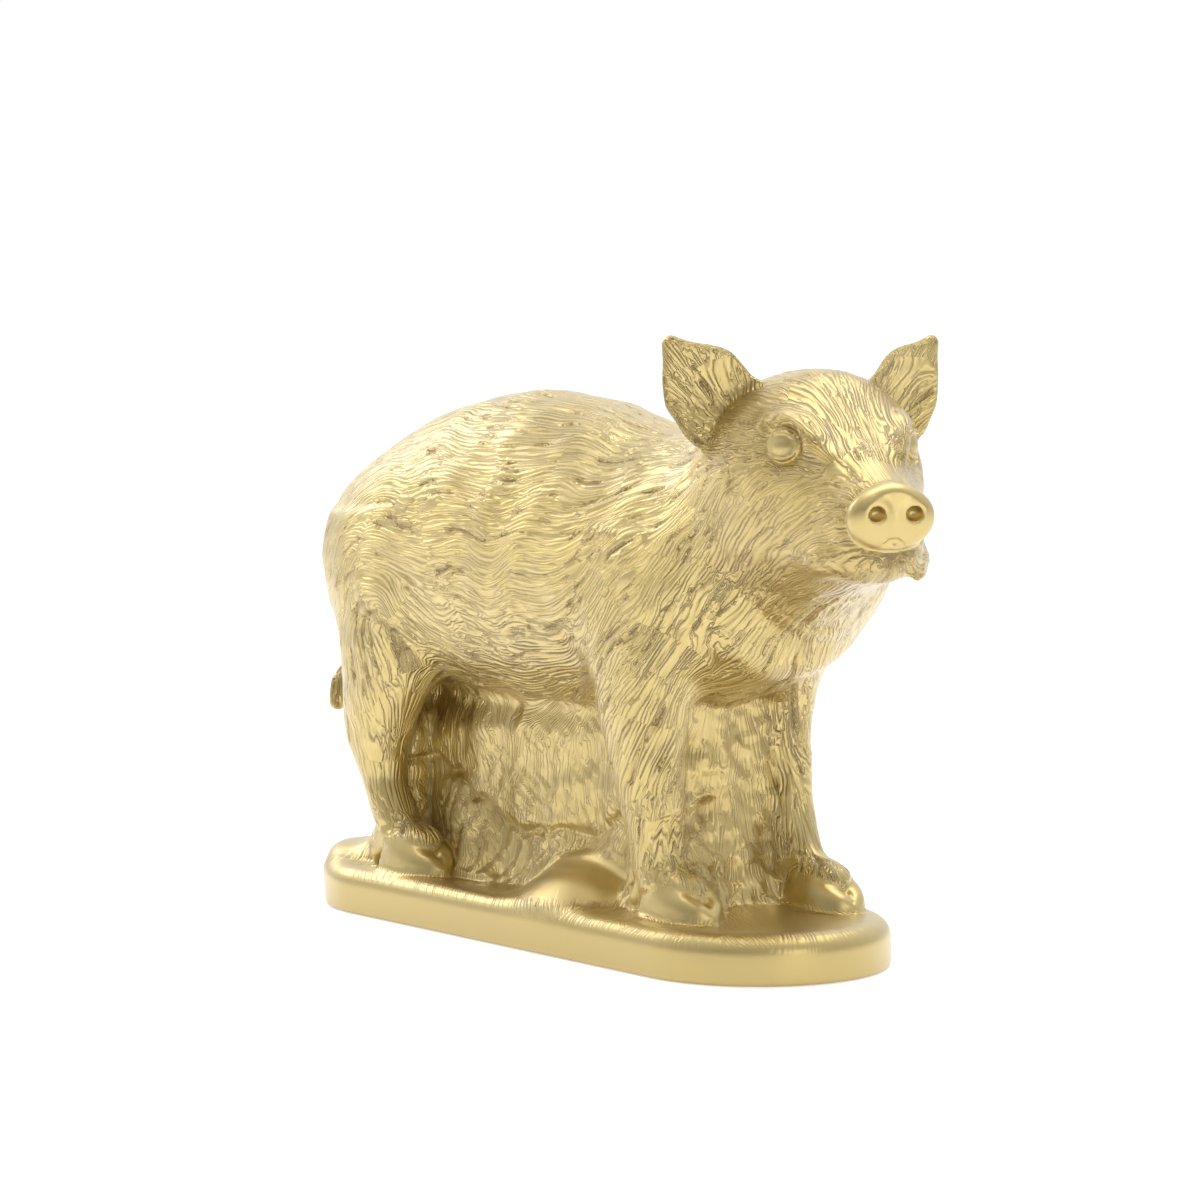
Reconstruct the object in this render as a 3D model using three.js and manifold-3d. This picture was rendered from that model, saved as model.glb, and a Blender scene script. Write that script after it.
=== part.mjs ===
// A cast piglet that stands on its own oval plinth, all one piece.
// Millimetres, +Z up, +X the way the piglet faces, +Y its left.
// The origin is the middle of the plinth's underside.
import * as THREE from 'three';
import { mergeVertices } from 'three/addons/utils/BufferGeometryUtils.js';
import Module from 'manifold-3d';

const wasm = await Module();
wasm.setup();

// Driving dimensions
const PLINTH_LENGTH = 400;
const PLINTH_WIDTH = 140;
const RIM_HEIGHT = 15; // upright part of the plinth's edge
const RIM_ROUND = 10; // radius that turns the edge into the ground
const GROUND = RIM_HEIGHT + RIM_ROUND;
const HEAD_TURN = THREE.MathUtils.degToRad(20.5); // the head looks to the piglet's right
const POLL_X = 166; // plan position of the line between the ear tips
const FUR_DEPTH = 1.1; // half the height of a carved lock over the hollow beside it
const SNOUT_AHEAD = 111; // the snout's disc, measured from the ear tips
const SNOUT_HEIGHT = 235;
const NOSTRIL_SPREAD = 9.5;
const EAR_ROOT = [6, 41, 278]; // ahead of the ear tips, to the side, height
const EAR_TIP = [-2, 72, 318];
const EAR_HOLLOW = 11;
const EYE = [55, 34, 267];
const BROW = [53, 28, 274];
const CLAW_LENGTH = 40;
const CLAW_GAP = 1.6; // half the split of a hoof at its root

const GOLD = new THREE.MeshStandardMaterial({ color: 0xd8bd72, roughness: 0.36, metalness: 1 });

// Axes of the body and of the head, which is turned about the upright
const X = new THREE.Vector3(1, 0, 0);
const Y = new THREE.Vector3(0, 1, 0);
const Z = new THREE.Vector3(0, 0, 1);
const FORWARD = new THREE.Vector3(Math.cos(HEAD_TURN), -Math.sin(HEAD_TURN), 0);
const LEFTWARD = new THREE.Vector3(Math.sin(HEAD_TURN), Math.cos(HEAD_TURN), 0);

// Trunk from rump to chest: [x, height of back, height of belly, half width]
const TRUNK = [
  [-198, 206, 178, 14],
  [-193, 222, 160, 34],
  [-180, 239, 146, 49],
  [-153, 257, 136, 60],
  [-115, 274, 129, 66],
  [-70, 286, 124, 67],
  [-28, 289, 122, 67],
  [20, 282, 122, 66],
  [65, 270, 126, 64],
  [110, 265, 132, 59],
  [140, 256, 142, 53],
  [160, 239, 156, 42],
  [170, 216, 178, 20],
];

// Neck and throat: [distance ahead of the ear tips, height of nape, height of throat, half width]
const NECK = [
  [-110, 260, 160, 42],
  [-75, 270, 146, 56],
  [-40, 281, 150, 60],
  [-10, 292, 161, 57],
  [16, 294, 178, 47],
  [38, 285, 194, 30],
];

// Head from poll to chin: [distance ahead of the ear tips, height of crown, height of jaw, half width]
const HEAD = [
  [-28, 288, 210, 30],
  [-15, 297, 198, 46],
  [5, 302, 190, 53],
  [22, 303, 188, 53.5],
  [38, 300, 190, 48],
  [52, 291, 194, 42.5],
  [66, 279, 198, 36],
  [80, 267, 201, 29.5],
  [94, 257, 203, 24.5],
  [104, 252, 207, 21],
  [110, 248, 213, 17],
];

// Legs from the body down to the hoof: [height, x, y, half length, half width]
const LEGS = {
  fore_right: [
    [215, 92, -28, 60, 28],
    [180, 92, -38, 48, 24],
    [150, 95, -44, 34, 21],
    [118, 97, -45, 25, 18],
    [85, 98, -42, 18.5, 15],
    [60, 99, -39, 14.5, 12.5],
    [44, 102, -37, 14, 13],
    [32, 108, -35, 15, 13.5],
  ],
  fore_left: [
    [215, 92, 28, 60, 28],
    [180, 92, 37, 46, 24],
    [150, 95, 43, 31, 20],
    [118, 98, 44, 20, 15.5],
    [85, 103, 44, 16.5, 13.5],
    [60, 111, 43, 14.5, 12.5],
    [44, 120, 42, 14.5, 13],
    [32, 130, 42, 15.5, 13.5],
  ],
  hind_right: [
    [215, -126, -28, 60, 30],
    [180, -122, -37, 53, 27],
    [155, -122, -42, 43, 24],
    [128, -126, -45, 33, 20],
    [96, -134, -46, 21.5, 14.5],
    [72, -129, -46, 13.5, 11],
    [50, -117, -45, 13, 11.5],
    [32, -106, -44, 15, 13.5],
  ],
  hind_left: [
    [215, -128, 28, 60, 30],
    [180, -128, 37, 53, 27],
    [155, -130, 42, 43, 24],
    [128, -137, 45, 33, 20],
    [96, -147, 46, 21.5, 14.5],
    [72, -143, 46, 13.5, 11],
    [50, -134, 45, 13, 11.5],
    [32, -124, 44, 15, 13.5],
  ],
};

// Walls of clay that carry the belly: [height, x of rear end, x of front end, half thickness]
const LONG_WALL = [
  [20, -158, 124, 41],
  [32, -152, 118, 33],
  [55, -146, 112, 26],
  [85, -142, 108, 24],
  [115, -140, 106, 27],
  [150, -138, 104, 34],
];
const FORE_WALL = [
  [20, 66, 128, 46],
  [40, 70, 120, 44],
  [70, 74, 112, 43],
  [110, 76, 110, 42],
  [150, 76, 108, 40],
];
const HIND_WALL = [
  [20, -172, -106, 46],
  [34, -158, -112, 43],
  [70, -152, -118, 42],
  [110, -152, -118, 42],
  [150, -152, -118, 40],
];

// Mounds and hollows of the ground: [x, y, height, reach]
const MOUNDS = [
  [-150, 0, 5, 40],
  [120, 0, 3, 30],
  [-60, -30, -3, 30],
];

// Lumps of clay on the ground: [x, y, half length, half width, height]
const LUMPS = [
  [36, -38, 30, 19, 20],
  [4, 40, 34, 16, 14],
  [-166, -30, 20, 15, 7],
];

// A point of the head: so far ahead of the ear tips, so far to the left, at that height.
function headPoint(ahead, left, height) {
  const point = new THREE.Vector3(POLL_X, 0, 0).addScaledVector(FORWARD, ahead);
  return point.addScaledVector(LEFTWARD, left).setZ(height);
}

// Smooth values between the rows of a table whose first column rises or falls steadily.
function smoothTable(rows) {
  const ordered = rows[0][0] < rows[rows.length - 1][0] ? rows : [...rows].reverse();
  const columns = rows[0].length - 1;
  const curve = new THREE.CubicInterpolant(
    new Float64Array(ordered.map((row) => row[0])),
    new Float64Array(ordered.flatMap((row) => row.slice(1))),
    columns,
    new Float64Array(columns),
  );
  return (at) => Array.from(curve.evaluate(at));
}

// A closed skin over rings of equally many points, with one point at each end.
function skin(first, rings, last) {
  const sides = rings[0].length;
  const points = [first, ...rings.flat(), last];
  const at = (ring, side) => 1 + ring * sides + (side % sides);
  const index = [];
  for (let side = 0; side < sides; side++) {
    index.push(0, at(0, side + 1), at(0, side));
    index.push(points.length - 1, at(rings.length - 1, side), at(rings.length - 1, side + 1));
    for (let ring = 0; ring + 1 < rings.length; ring++) {
      const [a, b] = [at(ring, side), at(ring, side + 1)];
      const [c, d] = [at(ring + 1, side), at(ring + 1, side + 1)];
      index.push(a, b, d, a, d, c);
    }
  }
  return new THREE.BufferGeometry().setFromPoints(points).setIndex(index);
}

// Height of the carved locks: ridges side by side, each of which turns into a hollow after a run of rings.
function lockHeight(ring, side, run) {
  const start = (side * 7) % (2 * run);
  const turn = Math.floor((ring + start) / run);
  return (side + turn) % 2 ? 1 : -1;
}

// A rounded body: oval sections carried along their centres.
// across and upward are the section's axes. section(t) gives its centre, half width, and reach up and down.
function loft({ span, across, upward, section, rings, sides, power = 2, fur = 0, run = 4, wave = 0 }) {
  const [from, to] = span;
  const round = (value) => Math.sign(value) * Math.abs(value) ** (2 / power);
  const ringAt = (number) => {
    const { centre, half, up, down } = section(from + ((to - from) * number) / (rings - 1));
    const faded = fur * Math.min(1, number / 3, (rings - 1 - number) / 3);
    return Array.from({ length: sides }, (_, side) => {
      const angle = (2 * Math.PI * side) / sides + wave * Math.sin(number * 0.9 + side * 0.35);
      const lift = faded * lockHeight(number, side, run);
      const tall = Math.sin(angle) > 0 ? up : down;
      const point = centre.clone().addScaledVector(across, (half + lift) * round(Math.cos(angle)));
      return point.addScaledVector(upward, (tall + lift) * round(Math.sin(angle)));
    });
  };
  const all = Array.from({ length: rings }, (_, number) => ringAt(number));
  return skin(section(from).centre, all, section(to).centre);
}

// First and last value of a table's first column
const spanOf = (rows) => [rows[0][0], rows[rows.length - 1][0]];

// A closed geometry as a solid that can be joined and cut. A skin wound the other way is turned round.
function solid(geometry) {
  const bare = geometry.clone();
  for (const name of Object.keys(bare.attributes)) if (name !== 'position') bare.deleteAttribute(name);
  const merged = mergeVertices(bare, 1e-4);
  const vertProperties = merged.attributes.position.array;
  const build = (triVerts) => new wasm.Manifold(new wasm.Mesh({ numProp: 3, vertProperties, triVerts }));
  const triVerts = new Uint32Array(merged.index.array);
  const made = build(triVerts);
  return made.volume() > 0 ? made : build(triVerts.reverse());
}

// An egg of three half sizes, tipped nose down by pitch and then turned by yaw about the upright.
function egg(centre, halves, yaw = 0, pitch = 0, detail = [10, 6]) {
  const geometry = new THREE.SphereGeometry(1, ...detail).scale(...halves);
  return geometry.rotateY(pitch).rotateZ(yaw).translate(centre.x, centre.y, centre.z);
}

function groundHeight(x, y) {
  const rise = ([cx, cy, tall, reach]) => tall * Math.exp(-((x - cx) ** 2 + (y - cy) ** 2) / reach ** 2);
  return MOUNDS.reduce((sum, mound) => sum + rise(mound), GROUND);
}

// Plinth: straight sides and half-round ends, an upright rim, a rounded edge and uneven ground
function plinth() {
  const sides = 48;
  const radius = PLINTH_WIDTH / 2;
  const straight = PLINTH_LENGTH / 2 - radius;
  const outline = (inset, gather, heightAt) =>
    Array.from({ length: sides }, (_, side) => {
      const angle = (2 * Math.PI * (side + 0.5)) / sides;
      const end = Math.sign(Math.cos(angle)) * straight * (1 - gather);
      const x = end + (radius - inset) * Math.cos(angle);
      const y = (radius - inset) * Math.sin(angle);
      return new THREE.Vector3(x, y, heightAt(x, y));
    });
  const rings = [outline(0, 0, () => 0), outline(0, 0, () => RIM_HEIGHT)];
  for (const degrees of [22.5, 45, 67.5, 90]) {
    const turn = THREE.MathUtils.degToRad(degrees);
    const height = RIM_HEIGHT + RIM_ROUND * Math.sin(turn);
    rings.push(outline(RIM_ROUND * (1 - Math.cos(turn)), 0, () => height));
  }
  for (const share of [0.3, 0.5, 0.75]) rings.push(outline(radius * share, share * 0.7, groundHeight));
  return skin(new THREE.Vector3(0, 0, 0), rings, new THREE.Vector3(0, 0, groundHeight(0, 0)));
}

function trunk() {
  const table = smoothTable(TRUNK);
  const section = (x) => {
    const [back, belly, half] = table(x);
    const reach = (back - belly) / 2;
    return { centre: new THREE.Vector3(x, 0, belly + reach), half, up: reach, down: reach };
  };
  const axes = { span: spanOf(TRUNK), across: Y, upward: Z };
  return loft({ ...axes, section, rings: 26, sides: 48, power: 2.15, fur: FUR_DEPTH, run: 5, wave: 0.05 });
}

// Neck and head: sections that stand square to the way the head looks
function headward(rows, rings, sides) {
  const table = smoothTable(rows);
  const section = (ahead) => {
    const [top, bottom, half] = table(ahead);
    const reach = (top - bottom) / 2;
    return { centre: headPoint(ahead, 0, bottom + reach), half, up: reach, down: reach };
  };
  const axes = { span: spanOf(rows), across: LEFTWARD, upward: Z };
  return loft({ ...axes, section, rings, sides, power: 2.2, fur: FUR_DEPTH * 0.6, run: 4, wave: 0.04 });
}

// The snout's disc, a little wider than tall, with two nostrils cut into it: [along, half width, half height]
function snout() {
  const rows = [[-8, 16, 12], [-3, 20.5, 15.2], [2, 21.5, 16], [5.5, 19.8, 14.6], [7, 16, 11.5]];
  const table = smoothTable(rows);
  const section = (along) => {
    const [half, tall] = table(along);
    return { centre: headPoint(SNOUT_AHEAD + along, 0, SNOUT_HEIGHT), half, up: tall, down: tall };
  };
  const disc = loft({ span: spanOf(rows), across: LEFTWARD, upward: Z, section, rings: 6, sides: 24 });
  const nostril = (side) => headPoint(SNOUT_AHEAD + 7, side * NOSTRIL_SPREAD, SNOUT_HEIGHT + 2);
  const cut = (made, side) => made.subtract(solid(egg(nostril(side), [5, 4, 3.4], -HEAD_TURN, 0, [8, 6])));
  return [-1, 1].reduce(cut, solid(disc));
}

// An ear: a leaf that stands out from the side of the crown, hollow in front. side is -1 right, 1 left.
function ear(side) {
  const place = ([ahead, out, height]) => headPoint(ahead, side * out, height);
  const root = place(EAR_ROOT);
  const along = place(EAR_TIP).sub(root);
  const front = FORWARD.clone().addScaledVector(LEFTWARD, side * 0.35);
  const across = new THREE.Vector3().crossVectors(front, along).normalize();
  const facing = new THREE.Vector3().crossVectors(along, across).normalize();
  const width = smoothTable([[0, 22], [0.3, 22.5], [0.55, 20.5], [0.7, 15], [0.86, 7], [1, 2]]);
  const [steps, sides] = [8, 14];
  const rings = Array.from({ length: steps }, (_, step) => {
    const share = step / (steps - 1);
    const [half] = width(share);
    const thick = 4.2 - 2.4 * share;
    return Array.from({ length: sides }, (__, corner) => {
      const angle = (2 * Math.PI * corner) / sides;
      const over = Math.cos(angle);
      const curl = EAR_HOLLOW * (1 - share) * (over * over - 0.55);
      const point = root.clone().addScaledVector(along, share).addScaledVector(across, half * over);
      return point.addScaledVector(facing, curl + thick * Math.sin(angle));
    });
  });
  const middle = (ring) => ring.reduce((sum, p) => sum.add(p), new THREE.Vector3()).divideScalar(sides);
  return skin(middle(rings[0]), rings, middle(rings[steps - 1]));
}

// Eyes, and the heavy brows that slope to the nose
function eye(side) {
  return egg(headPoint(EYE[0], side * EYE[1], EYE[2]), [8, 8, 7.5]);
}

function brow(side) {
  return egg(headPoint(BROW[0], side * BROW[1], BROW[2]), [17, 7, 6.5], -HEAD_TURN - side * 0.45, 0.55);
}

function leg(rows) {
  const table = smoothTable(rows);
  const section = (height) => {
    const [x, y, along, half] = table(height);
    return { centre: new THREE.Vector3(x, y, height), half: along, up: half, down: half };
  };
  const [top, low] = spanOf(rows);
  const locks = { fur: FUR_DEPTH * 0.7, run: 3, wave: 0.06 };
  return loft({ span: [top, low - 6], across: X, upward: Y, section, rings: 12, sides: 14, ...locks });
}

// One claw of a cloven hoof, blunt behind and pointed in front: [share of length, height, half width]
function claw([, x, y], side) {
  const table = smoothTable([[0, 15, 9.5], [0.2, 23, 9.5], [0.5, 18.5, 8.4], [0.8, 10.5, 5.4], [1, 4, 1.4]]);
  const section = (share) => {
    const [up, half] = table(share);
    const middle = y + side * (CLAW_GAP + half - share * 1.5);
    return { centre: new THREE.Vector3(x - 8 + share * CLAW_LENGTH, middle, GROUND), half, up, down: 3 };
  };
  return loft({ span: [0, 1], across: Y, upward: Z, section, rings: 6, sides: 8 });
}

// The small claw behind each toe
function dewclaw([, x, y], side) {
  return egg(new THREE.Vector3(x - 17, y + side * 10, GROUND + 8), [5, 4.5, 11], 0, 0.35, [6, 4]);
}

function wall(rows, rings, sides) {
  const table = smoothTable(rows);
  const section = (height) => {
    const [rear, front, thick] = table(height);
    const half = (front - rear) / 2;
    return { centre: new THREE.Vector3(rear + half, 0, height), half, up: thick, down: thick };
  };
  const folds = { fur: FUR_DEPTH, run: 3, wave: 0.03 };
  return loft({ span: spanOf(rows), across: X, upward: Y, section, rings, sides, power: 3.2, ...folds });
}

// The tail hangs down the back of the rump and ends in a tuft.
function tail() {
  const path = new THREE.CatmullRomCurve3([
    new THREE.Vector3(-188, 0, 210),
    new THREE.Vector3(-199, -2, 190),
    new THREE.Vector3(-200, -8, 160),
    new THREE.Vector3(-196, -15, 134),
    new THREE.Vector3(-198, -21, 112),
  ]);
  const thickness = smoothTable([[0, 5.5], [0.4, 4.5], [0.75, 3.6], [0.9, 6], [1, 3]]);
  const [steps, sides] = [10, 8];
  const rings = Array.from({ length: steps }, (_, step) => {
    const share = step / (steps - 1);
    const [half] = thickness(share);
    return Array.from({ length: sides }, (__, corner) => {
      const angle = (2 * Math.PI * corner) / sides;
      const point = path.getPoint(share).addScaledVector(X, half * Math.cos(angle));
      return point.addScaledVector(Y, half * Math.sin(angle));
    });
  });
  return skin(path.getPoint(0), rings, path.getPoint(1));
}

// Everything joined into one closed mesh
function cast() {
  const forms = [plinth(), trunk(), headward(NECK, 8, 26), headward(HEAD, 16, 30), tail()];
  forms.push(wall(LONG_WALL, 8, 26), wall(FORE_WALL, 6, 14), wall(HIND_WALL, 6, 14));
  for (const side of [-1, 1]) forms.push(ear(side), eye(side), brow(side));
  for (const [x, y, ...halves] of LUMPS) forms.push(egg(new THREE.Vector3(x, y, GROUND), halves));
  for (const rows of Object.values(LEGS)) {
    const foot = rows[rows.length - 1];
    forms.push(leg(rows));
    for (const side of [-1, 1]) forms.push(claw(foot, side), dewclaw(foot, side));
  }
  const whole = forms.map(solid).reduce((sum, next) => sum.add(next), snout());
  const { vertProperties, triVerts } = whole.getMesh();
  const geometry = new THREE.BufferGeometry();
  geometry.setAttribute('position', new THREE.BufferAttribute(vertProperties, 3));
  return geometry.setIndex(new THREE.BufferAttribute(triVerts, 1));
}

const piglet = new THREE.Mesh(cast(), GOLD);
piglet.name = 'piglet_sculpture';
const group = new THREE.Group();
group.add(piglet);

export default group;
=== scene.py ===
"""A piglet cast in one piece with its plinth: modelled strokes of fur under satin gold lacquer.

Sizes are millimetres in the part's frame, +X the way the piglet faces, +Y its left and +Z up.
They turn into metres where Blender takes them.
"""

from __future__ import annotations

import logging
import math
from abc import ABC, abstractmethod
from dataclasses import dataclass
from enum import Enum

import bpy
import numpy as np
import openvdb
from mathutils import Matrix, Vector

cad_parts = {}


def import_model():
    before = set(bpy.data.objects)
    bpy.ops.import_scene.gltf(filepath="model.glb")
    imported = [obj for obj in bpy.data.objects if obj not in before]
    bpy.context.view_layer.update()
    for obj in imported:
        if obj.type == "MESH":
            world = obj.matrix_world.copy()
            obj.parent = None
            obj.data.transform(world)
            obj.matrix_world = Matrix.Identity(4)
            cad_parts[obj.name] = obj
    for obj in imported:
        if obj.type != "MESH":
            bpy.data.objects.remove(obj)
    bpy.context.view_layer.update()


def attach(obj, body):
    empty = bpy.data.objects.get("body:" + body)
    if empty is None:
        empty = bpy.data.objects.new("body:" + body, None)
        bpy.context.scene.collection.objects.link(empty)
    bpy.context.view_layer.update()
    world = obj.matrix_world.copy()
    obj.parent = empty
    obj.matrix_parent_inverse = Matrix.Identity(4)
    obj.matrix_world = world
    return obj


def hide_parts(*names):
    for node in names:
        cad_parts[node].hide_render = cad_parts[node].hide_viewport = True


Array = np.ndarray
Coordinates = tuple[Array, Array, Array]
Triple = tuple[float, float, float]
Row = tuple[float, ...]

LOG = logging.getLogger("piglet")
NODE = "piglet_sculpture"
MM = 0.001
SEED = 20

# Driving sizes that several pieces share
PLINTH_LENGTH = 400.0
PLINTH_WIDTH = 140.0
RIM_ROUND = 10.0
GROUND = 25.0
HEAD_TURN = math.radians(20.5)
POLL_X = 166.0
SNOUT_AHEAD = 111.0
SNOUT_HEIGHT = 235.0


class Side(Enum):
    """The piglet's own sides, as the sign of the distance to its left."""

    RIGHT = -1
    LEFT = 1


class Axes(Enum):
    """Which axes a place is given in: the body's, or those of the turned head."""

    BODY = "body"
    HEAD = "head"


# Places and smooth values


def to_head(at: Coordinates) -> Coordinates:
    """Places in the head's axes: ahead of the ear tips, to the left, and height.

    Args:
        at: X, Y and Z in the body's axes.

    Returns:
        The same places after a turn about the upright through the ear tips' middle.
    """
    x, y, z = at
    cos, sin = math.cos(HEAD_TURN), math.sin(HEAD_TURN)
    return (x - POLL_X) * cos - y * sin, (x - POLL_X) * sin + y * cos, z


def head_vector(vector: Array) -> Array:
    """A direction of the head's axes in the body's axes."""
    cos, sin = math.cos(HEAD_TURN), math.sin(HEAD_TURN)
    return np.asarray(vector, float) @ np.array([[cos, -sin, 0], [sin, cos, 0], [0, 0, 1]])


def head_point(point: Array) -> Array:
    """A place of the head's axes in the body's axes."""
    return head_vector(point) + np.array([POLL_X, 0, 0])


def columns(points: Array) -> Coordinates:
    """X, Y and Z of a list of points as three arrays."""
    return points[:, 0], points[:, 1], points[:, 2]


def mirrored(row: Row, side: Side) -> Row:
    """A row that starts with ahead and left, on one side of the head."""
    return row[0], row[1] * side.value, *row[2:]


def unit(vectors: Array) -> Array:
    """Vectors scaled to length one."""
    return vectors / np.maximum(np.linalg.norm(vectors, axis=-1, keepdims=True), 1e-9)


def fade(values: Array, start: float, end: float) -> Array:
    """A smooth step from 0 at start to 1 at end: 3t² - 2t³ of the share t of the way."""
    share = np.clip((values - start) / (end - start), 0, 1)
    return share * share * (3 - 2 * share)


@dataclass(frozen=True)
class Profile:
    """Smooth values between the rows of a table, whose first column rises.

    Between two rows each value follows a cubic that leaves each row with the slope of its
    neighbours, so a body carried along it has no kink.
    """

    rows: tuple[Row, ...]

    @property
    def span(self) -> tuple[float, float]:
        """First and last place of the table."""
        return self.rows[0][0], self.rows[-1][0]

    def __call__(self, at: Array) -> list[Array]:
        """Values at places of the first column.

        Args:
            at: Places, held at the table's ends where they lie outside it.

        Returns:
            One array for each further column.
        """
        table = np.array(self.rows)
        knots, values = table[:, 0], table[:, 1:]
        slopes = np.gradient(values, knots, axis=0)
        at = np.clip(at, knots[0], knots[-1])
        row = np.clip(np.searchsorted(knots, at, side="right") - 1, 0, len(knots) - 2)
        gap = knots[row + 1] - knots[row]
        t = (at - knots[row]) / gap
        rise = t * t * (3 - 2 * t)
        leave, arrive = gap * t * (1 - t) ** 2, gap * t * t * (t - 1)
        return [
            (v[row] + (v[row + 1] - v[row]) * rise + m[row] * leave + m[row + 1] * arrive).astype(np.float32)
            for v, m in zip(values.T, slopes.T)
        ]


@dataclass(frozen=True)
class Grain:
    """Smooth uneven values: a sum of sine waves in seeded directions.

    Attributes:
        size: Usual distance from one swell to the next, in millimetres.
        seed: Which of the endless patterns.
    """

    size: float
    seed: int
    waves: int = 9

    def __call__(self, points: Array) -> Array:
        """Values of about -1 to 1 at the points.

        Args:
            points: Places in millimetres.

        Returns:
            One value for each point.
        """
        random = np.random.default_rng(self.seed)
        ways = unit(random.normal(size=(self.waves, 3)))
        pitch = 2 * math.pi / (self.size * random.uniform(0.7, 1.5, self.waves))
        phase = random.uniform(0, 2 * math.pi, self.waves)
        return np.sin(points @ (ways * pitch[:, None]).T + phase).sum(axis=1) / math.sqrt(self.waves)


# Forms of clay. Each gives the distance to its surface, negative inside.


def oval_distance(across: Array, up: Array, half: Array, tall: Array, power: float = 2.0) -> Array:
    """Distance from an oval's edge along the line from its middle.

    The oval is where |across / half|^power + |up / tall|^power = 1.

    Args:
        across: Sideways distance from the oval's middle.
        up: Upward distance from it.
        half: The oval's half width.
        tall: Its half height.
        power: 2 for a true oval, more for a squarer one.

    Returns:
        Millimetres, negative inside.
    """
    share = (np.abs(across / half) ** power + np.abs(up / tall) ** power) ** (1 / power)
    share = np.maximum(share, 1e-4)
    reach = np.maximum(np.hypot(across, up), 1e-4 * np.minimum(half, tall))
    return reach - reach / share


def capped(distance: Array, at: Array, span: tuple[float, float]) -> Array:
    """A long body cut off square at both ends of its span."""
    return np.maximum(distance, np.maximum(span[0] - at, at - span[1]))


def soft_min(first: Array, second: Array, blend: float) -> Array:
    """The smaller of two distances, with a fillet of clay as wide as blend between them."""
    overlap = np.maximum(blend - np.abs(first - second), 0)
    return np.minimum(first, second) - overlap * overlap / (4 * blend)


class Form(ABC):
    """A shape of clay in the part's frame."""

    @abstractmethod
    def bounds(self) -> tuple[Array, Array]:
        """Lowest and highest corner of a box that holds the form."""

    @abstractmethod
    def distance(self, at: Coordinates) -> Array:
        """Distance to the form's surface at X, Y and Z, negative inside."""


def turned_box(low: Row, high: Row) -> tuple[Array, Array]:
    """The body's box around a box of the head's axes.

    Args:
        low: Lowest corner in the head's axes.
        high: Highest corner.

    Returns:
        Lowest and highest corner in the body's axes.
    """
    corners = np.stack(np.meshgrid(*zip(low, high), indexing="ij"), axis=-1).reshape(-1, 3)
    turned = head_point(corners)
    return turned.min(axis=0), turned.max(axis=0)


@dataclass(frozen=True)
class Barrel(Form):
    """An oval body carried along the body or along the head.

    Attributes:
        profile: Rows of place along the axis, height of top, height of bottom, half width.
        power: How square the oval is.
        axes: Whether it runs along the body or along the head.
    """

    profile: Profile
    power: float
    axes: Axes

    def bounds(self) -> tuple[Array, Array]:
        """Box around all rows of the table.

        Returns:
            Lowest and highest corner.
        """
        table = np.array(self.profile.rows)
        half = table[:, 3].max()
        low = (table[0, 0], -half, table[:, 2].min())
        high = (table[-1, 0], half, table[:, 1].max())
        return turned_box(low, high) if self.axes is Axes.HEAD else (np.array(low), np.array(high))

    def distance(self, at: Coordinates) -> Array:
        """Distance from the oval section at each place along the axis.

        Args:
            at: X, Y and Z of the places.

        Returns:
            Millimetres, negative inside.
        """
        along, aside, height = to_head(at) if self.axes is Axes.HEAD else at
        top, bottom, half = self.profile(along)
        tall = (top - bottom) / 2
        oval = oval_distance(aside, height - bottom - tall, half, tall, self.power)
        return capped(oval, along, self.profile.span)


@dataclass(frozen=True)
class Column(Form):
    """A leg or wall of clay: ovals stacked up the height.

    Attributes:
        profile: Rows of height, X and Y of the middle, half length along X, half width along Y.
        power: How square the oval is.
    """

    profile: Profile
    power: float = 2.0

    def bounds(self) -> tuple[Array, Array]:
        """Box around all rows of the table.

        Returns:
            Lowest and highest corner.
        """
        height, x, y, half, wide = np.array(self.profile.rows).T
        low = np.array([(x - half).min(), (y - wide).min(), height[0]])
        return low, np.array([(x + half).max(), (y + wide).max(), height[-1]])

    def distance(self, at: Coordinates) -> Array:
        """Distance from the oval at each height.

        Args:
            at: X, Y and Z of the places.

        Returns:
            Millimetres, negative inside.
        """
        x, y, z = at
        middle_x, middle_y, half, wide = self.profile(z)
        oval = oval_distance(x - middle_x, y - middle_y, half, wide, self.power)
        return capped(oval, z, self.profile.span)


@dataclass(frozen=True)
class Egg(Form):
    """An egg of three half sizes, given in the body's or the head's axes."""

    centre: Triple
    halves: Triple
    axes: Axes = Axes.BODY

    def bounds(self) -> tuple[Array, Array]:
        """Box around the egg.

        Returns:
            Lowest and highest corner.
        """
        low = tuple(c - h for c, h in zip(self.centre, self.halves))
        high = tuple(c + h for c, h in zip(self.centre, self.halves))
        return turned_box(low, high) if self.axes is Axes.HEAD else (np.array(low), np.array(high))

    def distance(self, at: Coordinates) -> Array:
        """The egg's own measure (k - 1) scaled by its slope, close to the true distance.

        Args:
            at: X, Y and Z of the places.

        Returns:
            Millimetres, negative inside.
        """
        place = to_head(at) if self.axes is Axes.HEAD else at
        parts = [(p - c) / h for p, c, h in zip(place, self.centre, self.halves)]
        measure = np.sqrt(sum(p * p for p in parts))
        slope = np.sqrt(sum((p / h) ** 2 for p, h in zip(parts, self.halves)))
        return measure * (measure - 1) / np.maximum(slope, 1e-6)


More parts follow.
